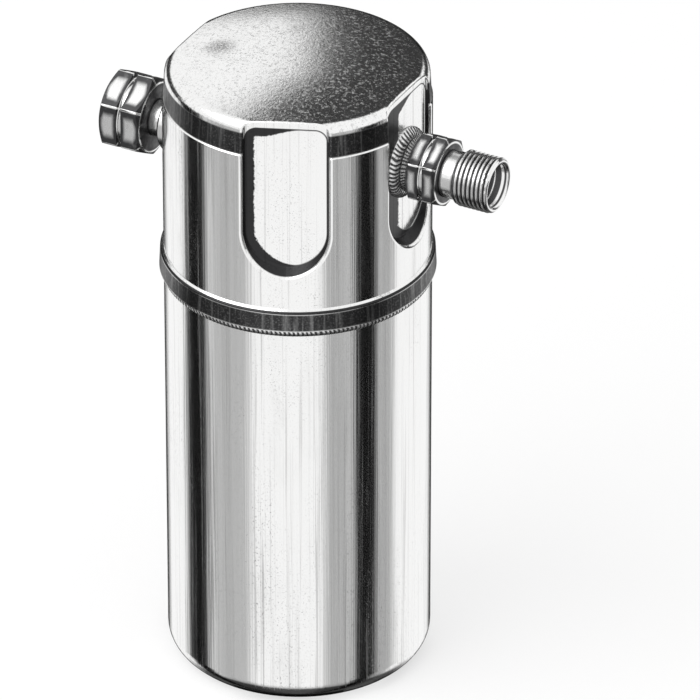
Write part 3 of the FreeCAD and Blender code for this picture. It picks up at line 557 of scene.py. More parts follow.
@dataclass(frozen=True)
class TurnedAluminium(Finish):
    """Bright turned bar: tool marks round its axis, smears, nicks and painted shade.

    The painted shade lies beside the hex's edges but off its corners, in the thread's roots and the
    creases, on the hex's end faces and inside the bores. Places along
    X are given as distances from the can's axis, and a bore is (start, end, radius).
    """

    axis_height: float
    hexagon: Span
    hex_flats: float
    threaded: Span
    thread: ThreadForm
    bores: tuple[tuple[float, float, float], ...]
    creases: tuple[float, ...]
    patch_round: float = 1.6
    clean: Colour = (0.90, 0.90, 0.895)
    worn: Colour = (0.60, 0.60, 0.595)
    # Painted shade: the near-black colour of the painted shade on the bar.
    shade_colour: Colour = (0.040, 0.040, 0.042)
    turning: Pattern = Pattern(1 / (0.20 * MM), 1.0)
    bands: Pattern = Pattern(900.0)
    smears: Pattern = Pattern(300.0, 4.0, 0.65, (0.50, 0.80))
    nicks: Pattern = Pattern(2600.0, 1.0, 0.5, (0.68, 0.74))
    polish: float = 0.15
    band: Mark = Mark(rough=0.07, relief=0.4)
    smear: Mark = Mark(colour=0.5, rough=0.12)
    nick: Mark = Mark(colour=0.3, relief=-0.3)
    turning_relief: float = 0.6
    # Roughness added where the painted shade lies.
    shade_rough: float = 0.22
    mark_depth: float = 0.006 * MM
    groove_half: float = 0.9 * MM
    beside: Span = (0.38, 0.78)
    # The hex's corners are kept clear of the painted shade over this span.
    clear_corners: Span = (0.935, 0.955)
    along: Span = (0.45 * MM, 2.1 * MM)
    hex_face: Span = (-0.45 * MM, -0.20 * MM)
    end_face: Span = (-1.1 * MM, -0.8 * MM)
    crease_edge: Span = (0.12 * MM, 1.1 * MM)
    bore_edge: Span = (0.02 * MM, 0.08 * MM)
    beyond_thread: Span = (0.1 * MM, 0.3 * MM)
    male_root: Span = (0.30, 0.72)
    female_root: Span = (0.20, 0.60)
    hex_broken: Span = (0.70, 0.70)
    root_broken: Span = (0.70, 0.45)
    crease_broken: Span = (0.76, 0.45)
    hex_edge: float = 0.05 * MM
    thread_edge: float = 0.1 * MM
    bore_end_edge: float = 0.15 * MM
    hex_darkness: float = 0.96
    root_darkness: float = 0.96
    crease_darkness: float = 0.97
    bore_darkness: float = 0.94

    def paint(self, shader: Shader, place: Signal) -> dict[str, Value]:
        """Works out the shader's inputs.

        Args:
            shader: the material's maker.
            place: the point on the surface.

        Returns:
            Each input's name and value.
        """
        x, y, z = shader.split(place)
        across = z - self.axis_height
        radius = distance(y, across)
        turned = shader.join(x, radius, 0.0)
        bands = shader.noise(turned, self.bands)
        smears = shader.noise(place, self.smears)
        smeared = smears.ease(*self.smears.eased)
        nicks = shader.marks(place, self.nicks)
        at = BarPlace(x.size(), radius, shader.math("ARCTAN2", across, y) / SIXTH_TURN, smears)
        # Painted shade beside the hex's edges, in the thread's roots, inside the bores and in the creases.
        masks = (self.edge_shade(at), self.root_shade(at), self.bore_shade(at), self.crease_shade(at))
        shade_mask = strongest(masks)
        colour = shader.blend(smeared * self.smear.colour + nicks * self.nick.colour, self.clean, self.worn)
        rough = self.polish + bands * self.band.rough + smeared * self.smear.rough
        height = shader.noise(turned, self.turning) * self.turning_relief + bands * self.band.relief
        return {
            "Base Color": shader.blend(shade_mask, colour, self.shade_colour),
            "Metallic": 1.0,
            "Roughness": rough + shade_mask * self.shade_rough,
            "Normal": shader.bump(height + nicks * self.nick.relief, self.mark_depth),
        }

    def from_flats(self, at: BarPlace, span: Span) -> Signal:
        """Rises from 0 to 1 over a span that is measured outwards from the hex's flats."""
        return at.radius.ease(self.hex_flats / 2 + span[0], self.hex_flats / 2 + span[1])

    def edge_shade(self, at: BarPlace) -> Signal:
        """Painted shade beside the hex's corners, ends and groove, kept off the corners themselves.

        Args:
            at: the point on the bar.

        Returns:
            The painted shade's mask.
        """
        off_centre = at.sixths.maker.math("PINGPONG", at.sixths, 0.5) * 2
        start, end = self.hexagon
        from_middle = (at.out - (start + end) / 2).size()
        from_groove = (from_middle - self.groove_half).size()
        from_end = (from_middle - (end - start) / 2).size()
        rounded = from_end - (at.radius - self.hex_flats / 2) * self.patch_round
        along = 1 - from_groove.least(rounded).ease(*self.along)
        share, gain = self.hex_broken
        shade_mask = (off_centre.ease(*self.beside).most(along) * (share + gain * at.smears)).least(1.0)
        on_hex = self.from_flats(at, self.hex_face) * at.out.band(start, end, self.hex_edge)
        return shade_mask * (1 - off_centre.ease(*self.clear_corners)) * on_hex * self.hex_darkness

    def root_shade(self, at: BarPlace) -> Signal:
        """Painted shade in the roots of the thread, which is cut into the bar or into its bore.

        Args:
            at: the point on the bar.

        Returns:
            The painted shade's mask.
        """
        crest, root = self.thread.crest, self.thread.root
        depth = abs(crest - root)
        near, far = self.beyond_thread
        if crest > root:
            low, high = self.male_root
            dark = 1 - at.radius.ease(root + depth * low, root + depth * high)
            own = at.radius.ease(root - far, root - near)
        else:
            low, high = self.female_root
            dark = at.radius.ease(crest + depth * low, crest + depth * high)
            own = 1 - at.radius.ease(root + near, root + far)
        on_thread = own * at.out.band(*self.threaded, self.thread_edge)
        return dark * on_thread * at.broken(*self.root_broken) * self.root_darkness

    def crease_shade(self, at: BarPlace) -> Signal:
        """Painted shade in the corners between the collars and necks, and on the hex's end faces.

        Args:
            at: the point on the bar.

        Returns:
            The painted shade's mask.
        """
        crease = strongest(1 - (at.out - place).size().ease(*self.crease_edge) for place in self.creases)
        low = 1 - self.from_flats(at, self.end_face)
        return crease * low * at.broken(*self.crease_broken) * self.crease_darkness

    def bore_shade(self, at: BarPlace) -> Signal:
        """Painted shade inside each bore: a dark film where the bore's shade falls.

        Args:
            at: the point on the bar.

        Returns:
            The painted shade's mask.
        """
        films = []
        for start, end, bore in self.bores:
            near, far = self.bore_edge
            inside = 1 - at.radius.ease(bore + near, bore + far)
            films.append(at.out.band(start, end, self.bore_end_edge) * inside)
        return strongest(films) * self.bore_darkness


@dataclass(frozen=True)
class WeldMetal(Finish):
    """As-welded bead: frosted, with soot caught between its ripples."""

    name: str = "weld_bead"
    bright: Colour = (0.86, 0.86, 0.86)
    soot: Colour = (0.045, 0.045, 0.045)
    mottle: Pattern = Pattern(750.0, 4.0, 0.7, (0.52, 0.66))
    dull: Pattern = Pattern(180.0, 3.0, 0.5, (0.45, 0.70))
    speck_scale: float = 1900.0
    speck_edge: Span = (0.30, 0.12)
    valley_edge: Span = (0.06, 0.38)
    valley_soot: float = 0.94
    mottle_mark: Mark = Mark(colour=0.55, rough=0.14)
    speck_mark: Mark = Mark(colour=0.25, relief=0.3)
    polish: float = 0.24
    dull_rough: float = 0.10
    soot_rough: float = 0.15
    most_soot: float = 0.96
    depth: float = 0.05 * MM

    def paint(self, shader: Shader, place: Signal) -> dict[str, Value]:
        """Works out the shader's inputs.

        Args:
            shader: the material's maker.
            place: the point on the surface.

        Returns:
            Each input's name and value.
        """
        mottle = shader.noise(place, self.mottle)
        cells = shader.signal("ShaderNodeTexVoronoi", None, {"Vector": place, "Scale": self.speck_scale})
        specks = cells.ease(*self.speck_edge)
        dull = shader.marks(place, self.dull)
        valley = shader.signal("ShaderNodeAttribute", {"attribute_name": VALLEY}, output="Fac")
        mottled = mottle.ease(*self.mottle.eased) * self.mottle_mark.colour
        sooty = valley.ease(*self.valley_edge) * self.valley_soot + mottled
        sooty = (sooty + specks * self.speck_mark.colour).least(self.most_soot)
        rough = self.polish + mottle * self.mottle_mark.rough + dull * self.dull_rough
        return {
            "Base Color": shader.blend(sooty, self.bright, self.soot),
            "Metallic": 1.0,
            "Roughness": rough + sooty * self.soot_rough,
            "Normal": shader.bump(mottle + specks * self.speck_mark.relief, self.depth),
        }


@dataclass(frozen=True)
class Mottled(Finish):
    """A plain material with clouds of a second colour and a fine grain."""

    colour: Colour
    cloud_colour: Colour
    clouds: Pattern
    cloud: Mark
    polish: float
    grain: Pattern
    grain_depth: float
    metallic: float = 0.0

    def paint(self, shader: Shader, place: Signal) -> dict[str, Value]:
        """Works out the shader's inputs.

        Args:
            shader: the material's maker.
            place: the point on the surface.

        Returns:
            Each input's name and value.
        """
        clouds = shader.noise(place, self.clouds)
        height = shader.noise(place, self.grain) * (1 - self.cloud.relief) + clouds * self.cloud.relief
        clouded = clouds.ease(*self.clouds.eased) * self.cloud.colour
        return {
            "Base Color": shader.blend(clouded, self.colour, self.cloud_colour),
            "Metallic": self.metallic,
            "Roughness": self.polish + clouds * self.cloud.rough,
            "Normal": shader.bump(height, self.grain_depth),
        }


@dataclass(frozen=True)
class Rubber(Mottled):
    """Moulded rubber with a dusty bloom."""

    cloud_colour: Colour = (0.16, 0.16, 0.15)
    clouds: Pattern = Pattern(320.0, 4.0, 0.65, (0.50, 0.80))
    cloud: Mark = Mark(colour=0.5, rough=0.22)
    polish: float = 0.46
    grain: Pattern = Pattern(3800.0)
    grain_depth: float = 0.012 * MM


@dataclass(frozen=True)
class MouldedPlastic(Mottled):
    """Natural nylon, a little cloudy, with the mould's fine grain."""

    colour: Colour = (0.84, 0.82, 0.75)
    cloud_colour: Colour = (0.74, 0.71, 0.62)
    clouds: Pattern = Pattern(210.0, 3.0, 0.5, (0.35, 0.75), (1.0, 1.0, 0.4))
    cloud: Mark = Mark(colour=1.0, rough=0.16, relief=0.3)
    polish: float = 0.38
    grain: Pattern = Pattern(4200.0)
    grain_depth: float = 0.010 * MM


@dataclass(frozen=True)
class ScreenWire(Mottled):
    """Drawn steel wire of the strainer's mesh, oiled in places."""

    name: str = "screen_wire"
    colour: Colour = (0.62, 0.62, 0.64)
    cloud_colour: Colour = (0.34, 0.33, 0.31)
    clouds: Pattern = Pattern(400.0, 3.0, 0.5, (0.40, 0.70))
    cloud: Mark = Mark(colour=1.0, rough=0.18)
    polish: float = 0.24
    grain: Pattern = Pattern(5200.0, 1.0)
    grain_depth: float = 0.004 * MM
    metallic: float = 1.0


@dataclass(frozen=True)
class NeedledFelt(Finish):
    """White needled felt: matted fibres, fine pile and the odd grey strand."""

    name: str = "needled_felt"
    pale: Colour = (0.86, 0.85, 0.81)
    shaded: Colour = (0.66, 0.64, 0.59)
    warp: Pattern = Pattern(900.0)
    warp_reach: float = 1.0 * MM
    strands: Pattern = Pattern(5200.0, 2.0, 0.7, stretch=(1.0, 1.0, 0.22))
    crossed: Pattern = Pattern(4600.0, 2.0, 0.7, stretch=(0.22, 0.22, 1.0))
    matting: Span = (0.42, 0.66)
    pile: Pattern = Pattern(380.0, 4.0, 0.6)
    strand_mark: Mark = Mark(colour=0.5, relief=0.7)
    pile_mark: Mark = Mark(colour=0.35, rough=0.12, relief=0.3)
    polish: float = 0.86
    sheen: float = 0.35
    depth: float = 0.12 * MM

    def paint(self, shader: Shader, place: Signal) -> dict[str, Value]:
        """Works out the shader's inputs.

        Args:
            shader: the material's maker.
            place: the point on the surface.

        Returns:
            Each input's name and value.
        """
        shift = shader.noise(place, self.warp) * self.warp_reach
        x, y, z = shader.split(place)
        bent = shader.join(x + shift, y + shift, z)
        matted = shader.noise(bent, self.strands).most(shader.noise(bent, self.crossed))
        pile = shader.noise(place, self.pile)
        light = matted.ease(*self.matting) * self.strand_mark.colour + pile * self.pile_mark.colour
        height = matted * self.strand_mark.relief + pile * self.pile_mark.relief
        return {
            "Base Color": shader.blend(light, self.shaded, self.pale),
            "Metallic": 0.0,
            "Roughness": self.polish + pile * self.pile_mark.rough,
            "Normal": shader.bump(height, self.depth),
            "Sheen Weight": self.sheen,
        }


# Meshes


class Workshop:
    """Makes, joins and hands over meshes in the frame's own place."""

    @staticmethod
    def new_object(name: str, data: bpy.types.ID) -> bpy.types.Object:
        """Puts a mesh, lamp or camera in the scene as an object at the origin.

        Args:
            name: the object's name.
            data: its mesh, lamp or camera.

        Returns:
            The object.
        """
        made = bpy.data.objects.new(name, data)
        bpy.context.scene.collection.objects.link(made)
        return made

    @staticmethod
    def loft(name: str, rings: list[list[Vector]]) -> bpy.types.Mesh:
        """Makes a closed mesh through rings of equally many points, with both ends capped.

        Args:
            name: the mesh's name.
            rings: each ring's points in metres, from one end to the other.

        Returns:
            The mesh, with its faces outwards.
        """
        count = len(rings[0])
        last = (len(rings) - 1) * count
        faces = [tuple(range(count)), tuple(last + i for i in reversed(range(count)))]
        for here in range(0, last, count):
            there = here + count
            for i in range(count):
                following = (i + 1) % count
                faces.append((here + i, there + i, there + following, here + following))
        mesh = bpy.data.meshes.new(name)
        mesh.from_pydata([tuple(point) for ring in rings for point in ring], [], faces)
        Workshop.tidy(mesh)
        return mesh

    @staticmethod
    def tidy(mesh: bpy.types.Mesh, gap: float = MERGE_GAP) -> None:
        """Merges doubled points and turns every face outwards.

        Args:
            mesh: the mesh to change.
            gap: how close two points are when they are one.
        """
        shape = bmesh.new()
        shape.from_mesh(mesh)
        bmesh.ops.remove_doubles(shape, verts=shape.verts, dist=gap)
        bmesh.ops.dissolve_degenerate(shape, edges=shape.edges, dist=gap)
        bmesh.ops.recalc_face_normals(shape, faces=shape.faces)
        shape.to_mesh(mesh)
        shape.free()

    @staticmethod
    def copy_of(node: bpy.types.Object, name: str) -> bpy.types.Object:
        """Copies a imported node's mesh, merged into one closed skin.

        Args:
            node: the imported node.
            name: the copy's name.

        Returns:
            The copy.
        """
        mesh = node.data.copy()
        mesh.name = name
        mesh.materials.clear()
        Workshop.tidy(mesh, COPY_GAP)
        return Workshop.new_object(name, mesh)

    @staticmethod
    def settle(piece: bpy.types.Object) -> None:
        """Turns a piece's modifiers into a plain mesh.

        Args:
            piece: the piece to change.
        """
        graph = bpy.context.evaluated_depsgraph_get()
        mesh = bpy.data.meshes.new_from_object(piece.evaluated_get(graph))
        mesh.name = piece.name
        piece.modifiers.clear()
        piece.data = mesh

    @staticmethod
    def carve(piece: bpy.types.Object, tool: bpy.types.Mesh, operation: str) -> None:
        """Cuts or trims a piece with a closed tool.

        Args:
            piece: the piece to change.
            tool: the closed mesh to change it with.
            operation: DIFFERENCE or INTERSECT.
        """
        cutter = Workshop.new_object(f"{piece.name}_tool", tool)
        modifier = piece.modifiers.new("carve", "BOOLEAN")
        modifier.object = cutter
        modifier.operation = operation
        modifier.solver = "EXACT"
        Workshop.settle(piece)
        bpy.data.objects.remove(cutter)
        Workshop.tidy(piece.data)

    @staticmethod
    def smooth(piece: bpy.types.Object, corner_degrees: float) -> None:
        """Shades a piece smooth, with edges sharper than the corner left crisp."""
        piece.data.shade_smooth()
        piece.data.set_sharp_from_angle(angle=math.radians(corner_degrees))

    @staticmethod
    def dress(piece: bpy.types.Object, material: bpy.types.Material) -> None:
        """Gives a whole piece one material.

        Args:
            piece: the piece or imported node.
            material: its finish.
        """
        if not piece.material_slots:
            piece.data.materials.append(material)
        for slot in piece.material_slots:
            slot.link = "DATA"
            slot.material = material
        log.info("%s: dressed in %s", piece.name, material.name)

    @staticmethod
    def hand_over(piece: bpy.types.Object, body: Body, slot: Slot, *nodes: str) -> None:
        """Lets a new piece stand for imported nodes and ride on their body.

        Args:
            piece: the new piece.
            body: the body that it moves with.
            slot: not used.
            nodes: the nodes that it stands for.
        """
        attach(piece, body.value)
        if nodes:
            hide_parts(*nodes)
        log.info("%s: %d faces, on %s", piece.name, len(piece.data.polygons), body.value)


# Threads and hexes


@dataclass(frozen=True)
class ThreadForm:
    """A 60 degree screw thread along X.

    The pitch and the two radii are the hose thread's own, and reach is how far the cutter stands
    proud of the crest.
    """

    crest: float
    root: float
    groove: Span
    pitch: float = 25.4 / 16 * MM
    reach: float = 0.10 * MM
    root_flat: float = 0.22 * MM
    steps_per_turn: int = 96
    flank_slope: float = math.tan(math.radians(30))

    def cutter(self, name: str, axis_height: float) -> bpy.types.Mesh:
        """Sweeps the groove's section along its helix.

        Args:
            name: the mesh's name.
            axis_height: the height of the thread's axis.

        Returns:
            The closed cutter.
        """
        start, end = self.groove
        mouth = self.crest + math.copysign(self.reach, self.crest - self.root)
        half_root = self.root_flat / 2
        half_mouth = half_root + abs(mouth - self.root) * self.flank_slope
        section = [(-half_mouth, mouth), (-half_root, self.root), (half_root, self.root), (half_mouth, mouth)]
        steps = int(abs(end - start) / self.pitch * self.steps_per_turn)
        rings = []
        for step in range(steps + 1):
            turn = FULL_TURN * step / self.steps_per_turn
            along = start + (end - start) * step / steps
            side, up = math.cos(turn), math.sin(turn)
            rings.append([Vector((along + x, side * r, axis_height + up * r)) for x, r in section])
        return Workshop.loft(name, rings)


@dataclass(frozen=True)
class HexEnvelope:
    """A hexagonal bar with rounded corners that breaks a hex's sharp edges."""

    ends: Span
    edge_radius: float = 0.7 * MM
    clearance: float = 0.003 * MM
    steps: int = 6

    def mesh(self, name: str, flats: float, axis_height: float) -> bpy.types.Mesh:
        """Makes the bar along X, with one corner pointing up as the solids' hexes have.

        Args:
            name: the mesh's name.
            flats: the hex's width over its flats.
            axis_height: the height of its axis.

        Returns:
            The closed bar.
        """
        reach = (flats / 2 + self.clearance - self.edge_radius) / math.cos(SIXTH_TURN / 2)
        outline = []
        for corner in range(6):
            middle = SIXTH_TURN * corner + FULL_TURN / 4
            for step in range(self.steps + 1):
                turn = middle + SIXTH_TURN * (step / self.steps - 0.5)
                y = reach * math.cos(middle) + self.edge_radius * math.cos(turn)
                z = reach * math.sin(middle) + self.edge_radius * math.sin(turn)
                outline.append((y, axis_height + z))
        return Workshop.loft(name, [[Vector((x, y, z)) for y, z in outline] for x in self.ends])


# Geometry trees


class Grower(NodeMaker):
    """Builds a geometry tree whose sizes are named inputs, and grows one plain mesh from it."""

    KINDS = {
        int: "NodeSocketInt",
        float: "NodeSocketFloat",
        bpy.types.Object: "NodeSocketObject",
        bpy.types.Material: "NodeSocketMaterial",
    }

    def __init__(self, name: str, sizes: dict, material: bpy.types.Material) -> None:
        """Starts the tree.

        Args:
            name: the finished piece's name.
            sizes: each size's name and value, or an object to read.
            material: the finish that the tree ends with.
        """
        super().__init__(bpy.data.node_groups.new(name, "GeometryNodeTree"))
        self.name = name
        self.values = {**sizes, "Finish": material}
        face = self.tree.interface
        face.new_socket("Geometry", in_out="OUTPUT", socket_type="NodeSocketGeometry")
        face.new_socket("Geometry", in_out="INPUT", socket_type="NodeSocketGeometry")
        self.keys = {}
        for label, value in self.values.items():
            kind = self.KINDS[type(value)]
            self.keys[label] = face.new_socket(label, in_out="INPUT", socket_type=kind).identifier
        self.inlet = self.node("NodeGroupInput")

    def given(self, label: str) -> Signal:
        """One of the tree's named inputs."""
        return Signal(self, self.inlet.outputs[label])

    def step(self, kind: str, settings: dict | None = None, **inputs: Value) -> Signal:
        """Adds a geometry node, whose inputs' names have a low line for a space."""
        named = {label.replace("_", " "): value for label, value in inputs.items()}
        return self.signal(f"GeometryNode{kind}", settings, named)

    def rotate(self, geometry: Signal, turn: Value) -> Signal:
        """Turns geometry about the origin by angles in radians."""
        return self.step("Transform", Geometry=geometry, Rotation=turn)

    def move(self, geometry: Signal, shift: Value) -> Signal:
        """Moves geometry."""
        return self.step("Transform", Geometry=geometry, Translation=shift)

    def up(self, height: Value) -> Signal:
        """An upright vector."""
        return self.join(0.0, 0.0, height)

    def angle(self) -> Signal:
        """The angle of each point round the upright axis."""
        x, y, _ = self.split(self.step("InputPosition"))
        return self.math("ARCTAN2", y, x)

    def gather(self, *parts: Signal) -> Signal:
        """Joins several geometries.

        Args:
            parts: the geometries, first to last.

        Returns:
            The joined geometry.
        """
        made = self.node("GeometryNodeJoinGeometry")
        for part in reversed(parts):
            self.feed(made.inputs[0], part)
        return Signal(self, made.outputs[0])

    def grow(self, geometry: Signal) -> bpy.types.Object:
        """Ends the tree and turns its result into a plain mesh.

        Args:
            geometry: what the tree has made.

        Returns:
            The finished piece.
        """
        whole = self.step("RealizeInstances", Geometry=geometry)
        painted = self.step("SetMaterial", Geometry=whole, Material=self.given("Finish"))
        self.node("NodeGroupOutput", None, {0: painted})
        piece = Workshop.new_object(self.name, bpy.data.meshes.new(self.name))
        modifier = piece.modifiers.new("grow", "NODES")
        modifier.node_group = self.tree
        for label, value in self.values.items():
            modifier[self.keys[label]] = value
        Workshop.settle(piece)
        return piece


# Sub-assemblies


def section_curve(name: str, points: list[Span]) -> bpy.types.Object:
    """Makes a closed flat curve that a geometry tree reads as a section.

    Args:
        name: the curve's name.
        points: its points, out from the axis and along it.

    Returns:
        The curve, outside the scene.
    """
    data = bpy.data.curves.new(name, "CURVE")
    data.dimensions = "3D"
    line = data.splines.new("POLY")
    line.points.add(len(points) - 1)
    for point, (out, along) in zip(line.points, points):
        point.co = (out, -along, 0, 1)
    line.use_cyclic_u = True
    return bpy.data.objects.new(name, data)


def bulge(start: Span, end: Span, radius: float, steps: int) -> list[Span]:
    """Divides an arc that bulges to the right of the way from start to end.

    Args:
        start: its first point.
        end: its last point.
        radius: its radius.
        steps: how many parts it has.

    Returns:
        The arc's points, both ends among them.
    """
    first = Vector(start)
    last = Vector(end)
    chord = last - first
    half = chord.length / 2
    right = Vector((chord.y, -chord.x)).normalized()
    centre = (first + last) / 2 - right * math.sqrt(radius * radius - half * half)
    opening = math.asin(half / radius)
    turns = [opening * (2 * step / steps - 1) for step in range(steps + 1)]
    return [tuple(centre + Matrix.Rotation(turn, 2) @ right * radius) for turn in turns]


@dataclass(frozen=True)
class Bead:
    """One welded bead: a section swept round a ring and rippled as the torch leaves it.

    Points are (out from the ring's axis, along it). The face runs from the toe to the crown, and
    the buried points close the section inside the metal.
    """

    name: str
    node: str
    toe: Span
    crown: Span
    buried: tuple[Span, ...]
    face_radius: float
    ripples: int
    ripple_depth: float
    swell: float
    turn: float = 0.0
    axis_height: float = 0.0
    face_steps: int = 11
    steps_per_ripple: int = 10
    wander: Pattern = Pattern(240.0, 1.0)
    broad: Pattern = Pattern(110.0, 1.0)
    bow: float = 0.55
    wander_share: float = 0.8
    ripple_power: float = 0.7
    ripple_middle: float = 0.75
    edge_power: float = 4.0
    end_of_face: Span = (1.0, 1.02)
    corner_degrees: float = 50

    def build(self, material: bpy.types.Material) -> None:
        """Sweeps and ripples the bead.

        Args:
            material: its finish.
        """
        face = bulge(self.toe, self.crown, self.face_radius, self.face_steps)
        points = face + list(self.buried)
        runs = [math.dist(a, b) for a, b in zip(points, points[1:] + points[:1])]
        sizes = {
            "Section": section_curve(f"{self.name}_section", points),
            "Steps": self.ripples * self.steps_per_ripple,
            "Ripples": float(self.ripples),
            "Ripple Depth": self.ripple_depth,
            "Swell": self.swell,
            "Face Share": sum(runs[: self.face_steps]) / sum(runs),
            "Turn": self.turn,
            "Axis Height": self.axis_height,
        }
        grower = Grower(self.name, sizes, material)
        outline = grower.node("GeometryNodeObjectInfo", None, {"Object": grower.given("Section")})
        capture = grower.node("GeometryNodeCaptureAttribute")
        capture.capture_items.new("FLOAT", "share")
        grower.feed(capture.inputs[0], outline.outputs["Geometry"])
        grower.feed(capture.inputs[1], grower.node("GeometryNodeSplineParameter").outputs["Factor"])
        ring = grower.step("CurvePrimitiveCircle", Resolution=grower.given("Steps"), Radius=RING_SEED)
        swept = grower.step("CurveToMesh", Curve=ring, Profile_Curve=capture.outputs[0])
        across = Signal(grower, capture.outputs[1]) / grower.given("Face Share")
        inside = 2 * across - 1
        mask = (1 - inside**self.edge_power).most(0.0) * (1 - across.ease(*self.end_of_face))
        place = grower.step("InputPosition")
        drift = inside * inside * self.bow + grower.noise(place, self.wander) * self.wander_share
        phase = grower.angle() / FULL_TURN * grower.given("Ripples") + drift
        ripple = (phase * math.pi).sine().size() ** self.ripple_power
        broad = grower.noise(place, self.broad) - 0.5
        height = (ripple - self.ripple_middle) * grower.given("Ripple Depth") + broad * grower.given("Swell")
        kept = {"data_type": "FLOAT", "domain": "POINT"}
        valley = (1 - ripple) * mask
        marked = grower.step("StoreNamedAttribute", kept, Geometry=swept, Name=VALLEY, Value=valley)
        offset = grower.scaled(grower.step("InputNormal"), height * mask)
        rippled = grower.step("SetPosition", Geometry=marked, Offset=offset)
        laid = grower.rotate(rippled, grower.join(0.0, grower.given("Turn"), 0.0))
        piece = grower.grow(grower.move(laid, grower.up(grower.given("Axis Height"))))
        Workshop.tidy(piece.data)
        Workshop.smooth(piece, self.corner_degrees)
        Workshop.hand_over(piece, Body.CANISTER, Slot.WELD, self.node)


@dataclass(frozen=True)
class Can:
    """The drawn shells with the weld that joins them."""

    lap_radius: float = 44.1 * MM
    wall_radius: float = 45.0 * MM
    lap_foot: float = 147.1 * MM
    wall_end: float = 146.2 * MM
    bell_edge: float = 148.7 * MM
    weld_leg: float = 1.6 * MM
    weld_face: float = 2.08 * MM
    weld_ripples: int = 190
    weld_relief: float = 0.20 * MM

    def build(self, nodes: dict, finishes: Finishes) -> None:
        """Gives both shells their finish and lays the girth weld under the bell's edge.

        Args:
            nodes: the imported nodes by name.
            finishes: the materials.
        """
        for name in ("upper_shell", "lower_shell"):
            Workshop.dress(nodes[name], finishes.drawn)
        Bead(
            name="girth_weld_bead",
            node="girth_weld",
            toe=(self.wall_radius, self.wall_end),
            crown=(self.lap_radius + self.weld_leg, self.bell_edge),
            buried=((self.lap_radius, self.bell_edge), (self.lap_radius, self.lap_foot)),
            face_radius=self.weld_face,
            ripples=self.weld_ripples,
            ripple_depth=self.weld_relief,
            swell=self.weld_relief,
        ).build(finishes.weld)


@dataclass(frozen=True)
class Fitting:
    """A turned fitting: a hex with broken edges, a cut thread, and the weld at its collar."""

    label: str
    node: str
    body: Body
    turned: TurnedAluminium
    envelope: HexEnvelope
    collar_radius: float
    weld_ripples: int
    weld_turn: float
    flat_plane: float = 40.6 * MM
    weld_width: float = 3.0 * MM
    weld_rise: float = 2.4 * MM
    weld_face: float = 3.4 * MM
    weld_ripple_depth: float = 0.34 * MM
    weld_swell: float = 0.30 * MM
    corner_degrees: float = 24

    def build(self, nodes: dict, finishes: Finishes) -> None:
        """Breaks the hex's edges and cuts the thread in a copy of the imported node, and welds it.

        Args:
            nodes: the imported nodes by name.
            finishes: the materials.
        """
        piece = Workshop.copy_of(nodes[self.node], f"{self.node}_turned")
        axis_height = self.turned.axis_height
        bar = self.envelope.mesh(f"{self.label}_bar", self.turned.hex_flats, axis_height)
        Workshop.carve(piece, bar, "INTERSECT")
        groove = self.turned.thread.cutter(f"{self.label}_groove", axis_height)
        Workshop.carve(piece, groove, "DIFFERENCE")
        Workshop.dress(piece, finishes.turned[self.label])
        Workshop.smooth(piece, self.corner_degrees)
        Workshop.hand_over(piece, self.body, Slot.TURNED, self.node)
        Bead(
            name=f"{self.label}_weld_bead",
            node=f"{self.label}_weld",
            toe=(self.collar_radius + self.weld_width, self.flat_plane),
            crown=(self.collar_radius, self.flat_plane + self.weld_rise),
            buried=((self.collar_radius, self.flat_plane),),
            face_radius=self.weld_face,
            ripples=self.weld_ripples,
            ripple_depth=self.weld_ripple_depth,
            swell=self.weld_swell,
            turn=self.weld_turn,
            axis_height=axis_height,
        ).build(finishes.weld)


@dataclass(frozen=True)
class Outlet(Fitting):
    """The male fitting on the right."""

    label: str = "outlet"
    node: str = "outlet_fitting"
    body: Body = Body.CANISTER
    turned: TurnedAluminium = TurnedAluminium(
        name="outlet_turned",
        axis_height=198.0 * MM,
        hexagon=(46.0 * MM, 56.8 * MM),
        hex_flats=22.2 * MM,
        threaded=(61.9 * MM, 74.6 * MM),
        thread=ThreadForm(crest=9.525 * MM, root=8.60 * MM, groove=(60.3 * MM, 76.8 * MM)),
        bores=(
            (36.0 * MM, 67.6 * MM, 5.75 * MM),
            (67.5 * MM, 69.9 * MM, 7.40 * MM),
            (70.3 * MM, 72.5 * MM, 7.40 * MM),
            (73.5 * MM, 74.3 * MM, 7.40 * MM),
        ),
        creases=(42.9 * MM, 46.0 * MM, 56.8 * MM, 61.9 * MM),
        patch_round=0.5,
    )
    envelope: HexEnvelope = HexEnvelope((30.0 * MM, 80.0 * MM))
    collar_radius: float = 9.2 * MM
    weld_ripples: int = 46
    weld_turn: float = FULL_TURN / 4


@dataclass(frozen=True)
class Inlet(Fitting):
    """The inlet on the left, with its swivel nut."""

    label: str = "inlet"
    node: str = "inlet_nut"
    body: Body = Body.NUT
    turned: TurnedAluminium = TurnedAluminium(
        name="inlet_turned",
        axis_height=190.0 * MM,
        hexagon=(53.6 * MM, 69.1 * MM),
        hex_flats=25.4 * MM,
        threaded=(58.4 * MM, 68.4 * MM),
        thread=ThreadForm(crest=8.77 * MM, root=9.60 * MM, groove=(-70.7 * MM, -59.2 * MM)),
        bores=((36.0 * MM, 67.2 * MM, 4.85 * MM),),
        creases=(43.0 * MM, 48.8 * MM, 53.6 * MM),
    )
    envelope: HexEnvelope = HexEnvelope((-80.0 * MM, -50.0 * MM))
    collar_radius: float = 9.85 * MM
    weld_ripples: int = 48
    weld_turn: float = -FULL_TURN / 4

    def build(self, nodes: dict, finishes: Finishes) -> None:
        """Makes the nut and the weld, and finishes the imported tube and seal.

        Args:
            nodes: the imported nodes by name.
            finishes: the materials.
        """
        super().build(nodes, finishes)
        Workshop.dress(nodes["inlet_tube"], finishes.turned[self.label])
        Workshop.dress(nodes["inlet_seal"], finishes.seal)


